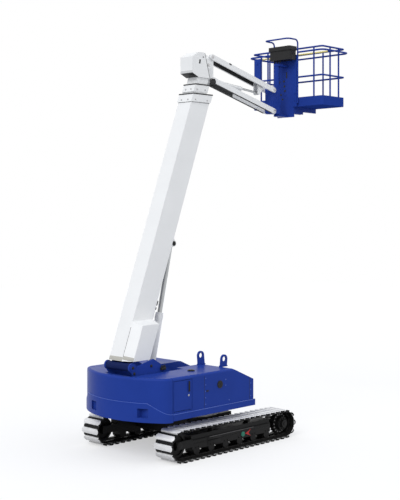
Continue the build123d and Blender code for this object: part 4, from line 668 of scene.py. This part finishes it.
for number in range(cap_ribs):
    turn = 2 * pi * number / cap_ribs
    x, y = cap_x + rib_circle * cos(turn), cap_y + rib_circle * sin(turn)
    fittings.append(bar("rib", (x, y, rib_foot), (x, y, rib_top), 0.006, 0.002, 10))
for number in range(slat_count):
    z = outlet_z + (number - (slat_count - 1) / 2) * slat_step
    half = sqrt(outlet_reach**2 - (z - outlet_z)**2)
    fittings.append(block("slat", (outlet_x - half, slat_out, z - slat_half),
                          (outlet_x + half, slat_in, z + slat_half), 0.002, 1))
bpy.ops.mesh.primitive_cylinder_add(vertices=40, radius=rim_radius, depth=rim_depth,
                                    location=(outlet_x, rim_y, outlet_z), rotation=(radians(90), 0, 0))
dish = bpy.context.object
bpy.ops.object.transform_apply()
for face in dish.data.polygons:
    face.select = face.normal.y < -0.9
bpy.ops.object.mode_set(mode="EDIT")
bpy.ops.mesh.select_mode(type="FACE")
bpy.ops.mesh.inset(thickness=rim_width)
bpy.ops.mesh.inset(thickness=rim_slope)
bpy.ops.transform.translate(value=(0, rim_sunk, 0))
bpy.ops.object.mode_set(mode="OBJECT")
fittings.append(softened(dish, 0.0012))
hood_fittings = joined("hood_fittings", fittings, black_moulding_and_shade)
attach(hood_fittings, "turntable")

# Bracket fittings: black hexagon bolts through both bracket plates and in the pin's ends, and a small
# oil block with three screwed stubs on the right plate.
plate_faces = ((-0.362, -1), (0.220, 1))
plate_bolts = ((-1.232, 1.398), (-1.585, 1.315))
pivot_x, pivot_z, pin_proud = slew_x - 1.620, 1.407, 0.010
oil_x, oil_y, oil_half, oil_foot, oil_top = slew_x - 0.993, -0.380, 0.050, 1.312, 1.352
places = []
for face, sign in plate_faces:
    for shift, z in plate_bolts:
        places.append(((slew_x + shift, face, z), (0, sign, 0)))
    places.append(((pivot_x, face + sign * pin_proud, pivot_z), (0, sign, 0)))
fittings = set_on(bolt_head(0.017, 0.014), places)
fittings.append(block("oil_block", (oil_x - oil_half, -0.398, oil_foot),
                      (oil_x + oil_half, -0.3615, oil_top), 0.005, 3))
for shift in (-0.034, 0, 0.034):
    x = oil_x + shift
    fittings.append(bar("stub", (x, oil_y, 1.350), (x, oil_y, 1.372), 0.0125, 0.002, 6))
    fittings.append(bar("end", (x, oil_y, 1.370), (x, oil_y, 1.390), 0.0085, 0.002, 16))
bracket_fittings = joined("bracket_fittings", fittings, black_moulding_and_shade)
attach(bracket_fittings, "turntable")

# Cooling louvres on the left hood: nine pressed slats, tilted to shed rain, in a screwed-on frame,
# painted with the hood. Behind them lies black sheet.
low_x, high_x, low_z, high_z = slew_x - 0.42, slew_x + 0.18, 0.82, 1.06
border, border_proud = 0.02, 0.008
slat_count, slat_tilt = 9, radians(-38)
slats = []
for left, right, foot, top in ((low_x, high_x, low_z - border, low_z),
                               (low_x, high_x, high_z, high_z + border),
                               (low_x - border, low_x, low_z - border, high_z + border),
                               (high_x, high_x + border, low_z - border, high_z + border)):
    slats.append(block("border", (left, side_face, foot), (right, side_face + border_proud, top), 0.002))
for number in range(slat_count):
    z = low_z + (number + 0.5) * (high_z - low_z) / slat_count
    slat = block("slat", (low_x, side_face - 0.004, -0.002), (high_x, side_face + 0.020, 0.002), 0.001, 1)
    slat.data.transform(Matrix.Translation((0, side_face, z)) @ Matrix.Rotation(slat_tilt, 4, "X")
                        @ Matrix.Translation((0, -side_face, 0)))
    slats.append(slat)
louvres = joined("left_louvres", slats, blue_enamel)
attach(louvres, "turntable")
backing = block("louvre_backing", (low_x, side_face - 0.001, low_z),
                (high_x, side_face + 0.0008, high_z), 0.0004, 1)
backing.data.materials.append(black_moulding_and_shade)
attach(backing, "turntable")

# Boom and jib: box sections of bent plate and the cylinders' barrels, under white gloss enamel. The
# two cylinder rods are hard-chromed bar.
white_enamel = enamel("white_enamel", (0.87, 0.875, 0.88), (0.84, 0.845, 0.85), 0.34, 0.3)
dressed(white_enamel, "boom_base", "boom_side_box", "boom_mid", "boom_tip", "boom_head", "jib_root",
        "jib_arm", "jib_link", "lift_barrel", "jib_barrel")
chrome_bar = bare_metal("chrome_bar", (0.40, 0.41, 0.42), (0.34, 0.35, 0.36), 0.16, 3.0)
dressed(chrome_bar, "lift_rod", "jib_rod")

# Collar bolts: turned steel hexagon heads that press the slide pads against the inner section, two
# on top and two on each side of both collars, screwed in square to the collar's faces.
elevation = radians(69.7)
pivot = Vector((pivot_x, 0, pivot_z))
boom_run = Vector((cos(elevation), 0, sin(elevation)))
boom_up = Vector((-sin(elevation), 0, cos(elevation)))
top_share, mouth_lean = 0.45, 0.37


def on_boom(along, up, y):
    """A point on the raised boom, measured along it and up from it."""
    return pivot + along * boom_run + up * boom_up + Vector((0, y, 0))


for body, along, half, top, ups in (("boom_base", 4.455, 0.164, 0.071, (-0.010, -0.270)),
                                    ("boom_mid", 4.650, 0.136, 0.053, (-0.010, -0.190))):
    places = []
    for y in (-top_share * half, top_share * half):
        places.append((on_boom(along, top, y), boom_up))
    for sign in (-1, 1):
        for up in ups:
            shifted = along + (top - up) * mouth_lean
            places.append((on_boom(shifted, up, sign * half), (0, sign, 0)))
    collar_bolts = joined("collar_bolts_" + body, set_on(bolt_head(0.010, 0.010), places), turned_steel)
    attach(collar_bolts, body)

# Collar edge strip: a thin black strip under the first section's collar, round all four sides, darkening
# the line along the collar's lower edge. It lies level, like the collar's mouth.
along_boom = Matrix.Translation(pivot) @ Matrix.Rotation(-elevation, 4, "Y")
edge_strip_height, edge_strip_half = 0.007, 0.152
collar_z, collar_rear, collar_front = 5.5733, slew_x - 0.1395, slew_x + 0.2869
beads = []
for sign in (-1, 1):
    near, far = side_span(sign, 0.1495, edge_strip_half)
    beads.append(block("bead", (collar_rear, near, collar_z - edge_strip_height),
                       (collar_front, far, collar_z), 0.0008, 1))
for along, low, high in ((4.4212, 0.0565, 0.0590), (4.5691, -0.3450, -0.3425)):
    bead = block("bead", (along - edge_strip_height, -edge_strip_half, low), (along, edge_strip_half, high), 0.0008, 1)
    bead.data.transform(along_boom)
    beads.append(bead)
collar_edge_strip = joined("collar_edge_strip", beads, black_moulding_and_shade)
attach(collar_edge_strip, "boom_base")

# Cylinder pin: a black retaining ring round the pin on each ear under the boom, and a black end plate
# with its bolt on the pin's end.
ear_along, ear_up, ear_face, pin_end = 2.140, -0.440, 0.0790, 0.0890
plates = []
for sign in (-1, 1):
    out = Vector((0, sign, 0))
    ear = Vector((ear_along, sign * ear_face, ear_up))
    end = Vector((ear_along, sign * pin_end, ear_up))
    plates.append(bar("ring", ear - 0.001 * out, ear + 0.008 * out, 0.038, 0.002, 28))
    plates.append(bar("plate", end - 0.004 * out, end + 0.004 * out, 0.0285, 0.001, 28))
    plates.append(bar("bolt", end + 0.003 * out, end + 0.010 * out, 0.013, 0.002, 6))
ear_plates = joined("ear_plates", plates, black_moulding_and_shade)
ear_plates.data.transform(along_boom)
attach(ear_plates, "boom_base")

# Foot of the boom: a grey plate folded round the rear of the box and of the side box, painted shade for
# the shaded end face of the white foot, and a black sealed seam where the side box is welded on.
foot_shade_grey = enamel("foot_shade_grey", (0.50, 0.49, 0.45), (0.46, 0.45, 0.41), 0.45, 0.2)
box_edge, box_slope = (0, -0.150, 0.057), radians(24.1)
rear = block("rear", (0.072, -0.149, 0.0565), (0.135, 0.149, 0.0592), 0.001)
wing = block("wing", (0.098, -0.186, -0.0005), (0.155, -0.002, 0.0022), 0.001)
wing.data.transform(Matrix.Translation(box_edge) @ Matrix.Rotation(box_slope, 4, "X"))
foot_shade_plate = joined("foot_shade_plate", [rear, wing], foot_shade_grey)
foot_shade_plate.data.transform(along_boom)
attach(foot_shade_plate, "boom_base")
box_seam = block("box_seam", (0.140, -0.1530, 0.0550), (0.610, -0.1475, 0.0582), 0.0008, 1)
box_seam.data.transform(along_boom)
box_seam.data.materials.append(black_moulding_and_shade)
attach(box_seam, "boom_base")

# Pipes under the first boom section: two steel oil lines in black clamps on the left, from the foot
# to the collar, and a short one on the right that ends in an elbow block.
pipe_start, pipe_up, pipe_radius = 0.62, -0.360, 0.0115
clamp_start, clamp_half, clamp_side, clamp_foot, clamp_top = 0.80, 0.02, 0.019, -0.378, -0.343
lines = []
for y, last, step, clamp_count in ((0.096, 4.50, 0.70, 6), (0.126, 4.50, 0.70, 6), (-0.118, 1.10, 0.23, 2)):
    lines.append(bar("pipe", (pipe_start, y, pipe_up), (last, y, pipe_up), pipe_radius, 0.002, 16))
    for number in range(clamp_count):
        along = clamp_start + number * step
        lines.append(block("clamp", (along - clamp_half, y - clamp_side, clamp_foot),
                           (along + clamp_half, y + clamp_side, clamp_top), 0.004))
lines.append(block("elbow", (1.08, -0.138, -0.380), (1.16, -0.098, clamp_top), 0.006))
boom_pipes = joined("boom_pipes", lines, black_moulding_and_shade)
boom_pipes.data.transform(along_boom)
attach(boom_pipes, "boom_base")

# Head: on each side a hand slot with a moulded edge, a plug and a sealed joint along the front edge.
# A light grey strip along the rear box's foot is painted shade for the soft dark band there, and a black
# sheet closing the box from below is painted shade for the dark hollow inside it.
head_face, mark_proud = 0.140, 0.0015
slot_seat = Matrix.Translation((-0.641, 0, 6.246)) @ Matrix.Rotation(radians(12), 4, "Y")
joint_seat = Matrix.Translation((-0.463, 0, 6.193)) @ Matrix.Rotation(radians(-16.05), 4, "Y")
sole_seat = Matrix.Translation((-0.8138, 0, 6.0501)) @ Matrix.Rotation(radians(23.2), 4, "Y")
plug_x, plug_z = -0.561, 6.328
marks = []
for sign in (-1, 1):
    near, far = side_span(sign, head_face, head_face + mark_proud)
    slot = block("slot", (-0.017, near, -0.036), (0.017, far, 0.036), 0.0008, 1)
    slot.data.transform(slot_seat)
    marks.append(slot)
    marks.append(bar("plug", (plug_x, sign * head_face, plug_z),
                     (plug_x, sign * (head_face + 0.004), plug_z), 0.011, 0.002, 20))
    joint = block("joint", (-0.0045, near, -0.205), (0.0045, far, 0.205), 0.0006, 1)
    joint.data.transform(joint_seat)
    marks.append(joint)
head_marks = joined("head_marks", marks, black_moulding_and_shade)
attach(head_marks, "boom_tip")
# Painted shade: light grey for the soft dark band along the head's rear foot.
head_shade_grey = enamel("head_shade_grey", (0.66, 0.665, 0.67), (0.63, 0.635, 0.64), 0.4, 0.2)
sill = block("head_shade_strip", (-0.8152, -0.1385, 6.0520), (-0.8132, 0.1385, 6.0900), 0.0008, 1)
sill.data.materials.append(head_shade_grey)
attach(sill, "boom_tip")
# Painted shade: black sheet under the head's box, for the dark hollow inside it.
sole = block("head_shade_sheet", (0.002, -0.138, -0.0025), (0.150, 0.138, 0), 0.001)
sole.data.transform(sole_seat)
sole.data.materials.append(black_moulding_and_shade)
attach(sole, "boom_tip")

# Jib pins: each ends in a washer and a hexagon bolt of turned steel on both sides. A black bolt
# head stands on each side of the jib's root.
upper_root = Vector((slew_x + 0.4203, 0, 6.3601))
lower_root = Vector((slew_x + 0.4203, 0, 5.9851))
droop, jib_length = radians(14.7), 1.654
jib_run = Vector((cos(droop), 0, -sin(droop)))
pin_face = 0.108
root_bolt_x, root_bolt_z = -0.338, 6.219
for body, shift in (("jib_root", 0), ("jib_end", jib_length)):
    caps = []
    for pin in (upper_root + shift * jib_run, lower_root + shift * jib_run):
        for sign in (-1, 1):
            out = Vector((0, sign, 0))
            face = pin + pin_face * out
            caps.append(bar("washer", face, face + 0.0014 * out, 0.028, 0.0004, 28))
            caps.append(bar("bolt", face + 0.001 * out, face + 0.0034 * out, 0.013, 0.0006, 6))
    pin_caps = joined("pin_caps_" + body, caps, turned_steel)
    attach(pin_caps, body)
bolts = []
for sign in (-1, 1):
    bolts.append(bar("bolt", (root_bolt_x, sign * 0.070, root_bolt_z),
                     (root_bolt_x, sign * 0.0762, root_bolt_z), 0.013, 0.001, 6))
root_bolt = joined("root_bolts", bolts, chassis_black)
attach(root_bolt, "jib_root")

# Upper arm lining: dark sheet on the top and both sides inside the arm, painted shade for the shadowed
# inside of the channel, and a rubber clip on the right outer face.
lining_start, lining_end, lining_foot, lining_top = 0.215, 1.44, -0.043, 0.0275
upper_seat = Matrix.Translation(upper_root) @ Matrix.Rotation(droop, 4, "Y")
lining = [block("sheet", (lining_start, -0.0765, lining_top), (lining_end, 0.0765, 0.0305), 0.0005, 1)]
for near, far in ((-0.0768, -0.0750), (0.0750, 0.0768)):
    lining.append(block("sheet", (lining_start, near, lining_foot),
                        (lining_end, far, lining_top), 0.0005, 1))
lining.append(block("clip", (0.415, -0.1085, 0.022), (0.470, -0.1045, 0.047), 0.001))
# Dark grey: painted shade for the insides and undersides of both arms, and the rubber of the clip.
rubber_and_painted_shade = enamel("rubber_and_painted_shade", (0.055, 0.055, 0.056), (0.065, 0.065, 0.066), 0.7, 0.15,
                       orange_peel=0.3)
arm_shade_lining = joined("arm_shade_lining", lining, rubber_and_painted_shade)
arm_shade_lining.data.transform(upper_seat)
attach(arm_shade_lining, "jib_link")

# Lower arm: dark strips along the underside of both bars and a dark sheet inside the first half of the
# left bar, painted shade for the shadowed undersides and inner face. A black hose block with stubs sits
# on the root's lower pin.
edging_start, edging_end, edging_foot, edging_top = 0.06, 1.59, -0.0545, -0.0495
lower_seat = Matrix.Translation(lower_root) @ Matrix.Rotation(droop, 4, "Y")
edging = []
for near, far in ((-0.105, -0.077), (0.077, 0.105)):
    edging.append(block("sheet", (edging_start, near, edging_foot),
                        (edging_end, far, edging_top), 0.0005, 1))
edging.append(block("sheet", (0.12, 0.0750, -0.046), (0.72, 0.0768, 0.040), 0.0005, 1))
arm_shade_edging = joined("arm_shade_edging", edging, rubber_and_painted_shade)
arm_shade_edging.data.transform(lower_seat)
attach(arm_shade_edging, "jib_arm")
stub_y = -0.120
stubs = [block("hose_block", (-0.085, -0.128, -0.070), (0.055, -0.1125, -0.014), 0.006, 3)]
for x in (-0.06, -0.015, 0.03):
    stubs.append(bar("stub", (x, stub_y, -0.016), (x, stub_y, 0.012), 0.010, 0.002, 6))
    stubs.append(bar("nut", (x, stub_y, -0.088), (x, stub_y, -0.068), 0.008, 0.002, 12))
hose_block = joined("hose_block", stubs, black_moulding_and_shade)
hose_block.data.transform(Matrix.Translation(lower_root))
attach(hose_block, "jib_root")

# Basket: bent and welded tube on a folded floor, under blue enamel like the turntable; the floor's
# paint is dull from boots. The harness bar is yellow.
dressed(blue_enamel, "jib_end", "swing_bracket", "rear_panel", "rail_rear", "rail_front", "rail_right",
        "rail_left", "control_guard", "tool_box")
floor_blue = enamel("floor_blue", (0.0180, 0.0470, 0.275), (0.0195, 0.051, 0.300), 0.8, 0.0,
                    dust_colour=deck_dust, dust_amount=0.1)
dressed(floor_blue, "basket_floor")
yellow_enamel = enamel("yellow_enamel", (0.90, 0.78, 0.26), (0.86, 0.74, 0.24), 0.35, 0.2)
dressed(yellow_enamel, "hook_bar")

# Rear panel: pressed plate with a hand slot and round cable holes, closed by black grommets, and
# bolted to the swing bracket.
panel_face, grommet_proud = slew_x + 2.4519, 0.002
holes = ((0.138, 6.134, 0.022), (0.032, 6.143, 0.020), (0.162, 6.044, 0.020), (0.020, 6.051, 0.020),
         (0.008, 5.968, 0.020), (0.103, 5.902, 0.020), (0.067, 5.818, 0.018))
bolt_places = [(y, z) for y in (-0.221, 0.221) for z in (5.774, 5.906, 6.40)]
grommets = [block("slot", (panel_face - grommet_proud, -0.046, 6.196), (panel_face, -0.018, 6.306),
                  0.0009, 1)]
for y, z, radius in holes:
    grommets.append(bar("hole", (panel_face, y, z), (panel_face - grommet_proud, y, z), radius, 0.0008, 28))
panel_grommets = joined("panel_grommets", grommets, black_moulding_and_shade)
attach(panel_grommets, "basket")
places = [((panel_face, y, z), (-1, 0, 0)) for y, z in bolt_places]
panel_bolts = joined("panel_bolts", set_on(bolt_head(0.010, 0.010), places), blue_enamel)
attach(panel_bolts, "basket")

# Controls: low thumb levers in rubber boots, a row of toggles and a red stop button on the lid, and
# screwed cable glands under the box.
box_x, lid_z = slew_x + 2.345, 6.7453
toggle_x, first_toggle, toggle_step = box_x + 0.03, -0.075, 0.038
gland_x, gland_foot, gland_top = box_x - 0.02, 6.482, 6.5056
stub_foot, stub_top = 6.462, 6.484
stop_x, stop_y = box_x + 0.055, -0.020
levers = []
for y in (-0.150, 0.120):
    for name, foot, top, radius, width, sides in (("boot", 0, 0.006, 0.032, 0.003, 28),
                                                  ("collar", 0.005, 0.012, 0.022, 0.003, 28),
                                                  ("knob", 0.010, 0.024, 0.013, 0.005, 24)):
        levers.append(bar(name, (box_x, y, lid_z + foot), (box_x, y, lid_z + top), radius, width, sides))
for number in range(4):
    y = first_toggle + number * toggle_step
    levers.append(bar("toggle", (toggle_x, y, lid_z), (toggle_x, y, lid_z + 0.016), 0.006, 0.002, 12))
for y in (0.150, 0.085, 0.020):
    levers.append(bar("gland", (gland_x, y, gland_foot), (gland_x, y, gland_top), 0.017, 0.003, 6))
    levers.append(bar("stub", (gland_x, y, stub_foot), (gland_x, y, stub_top), 0.010, 0.002, 16))
control_levers = joined("control_levers", levers, black_moulding_and_shade)
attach(control_levers, "basket")
button = bar("button", (stop_x, stop_y, lid_z), (stop_x, stop_y, lid_z + 0.020), 0.019, 0.005, 28)
stem = bar("stem", (stop_x, stop_y, lid_z), (stop_x, stop_y, lid_z + 0.010), 0.024, 0.002, 28)
stop_button = joined("stop_button", [button, stem], mark_red)
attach(stop_button, "basket")

# Floor tread: short raised bars pressed into the floor sheet, turned half left and half right by
# turns, so that boots grip both ways. Blue enamel like the rails.
floor_z = 5.7104
low_x, high_x, half_y = slew_x + 2.5142, slew_x + 3.1262, 0.78
columns, rows = 13, 33
tread_bar = block("tread_bar", (-0.016, -0.004, -0.001), (0.016, 0.004, 0.0028), 0.0018, 1)
made = []
for column in range(columns):
    x = low_x + (column + 0.5) * (high_x - low_x) / columns
    for row in range(rows):
        place = (x, (row / (rows - 1) - 0.5) * 2 * half_y, floor_z)
        turn = radians(45 if (row + column) % 2 else -45)
        made.append(copied(tread_bar, Matrix.Translation(place) @ Matrix.Rotation(turn, 4, "Z")))
bpy.data.objects.remove(tread_bar)
floor_tread = joined("floor_tread", made, blue_enamel)
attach(floor_tread, "basket")

# Rail clamps: the yellow bar sits in split blocks on the end posts, and the tool box has a lid
# joint and a latch. All are steel, painted blue with the basket.
clamp_rear, clamp_front, clamp_low, clamp_high = slew_x + 2.700, slew_x + 2.742, 6.616, 6.664
box_face = slew_x + 2.4379
clamps = []
for sign in (-1, 1):
    near, far = side_span(sign, 0.770, 0.793)
    clamps.append(block("clamp", (clamp_rear, near, clamp_low), (clamp_front, far, clamp_high), 0.004))
bar_clamps = joined("bar_clamps", clamps, blue_enamel)
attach(bar_clamps, "basket")
lid = block("joint", (box_face - 0.0012, 0.588, 6.520), (box_face, 0.738, 6.524), 0.0005, 1)
latch = block("latch", (box_face - 0.010, 0.646, 6.500), (box_face, 0.680, 6.545), 0.003)
tool_latch = joined("tool_latch", [lid, latch], blue_enamel)
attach(tool_latch, "basket")
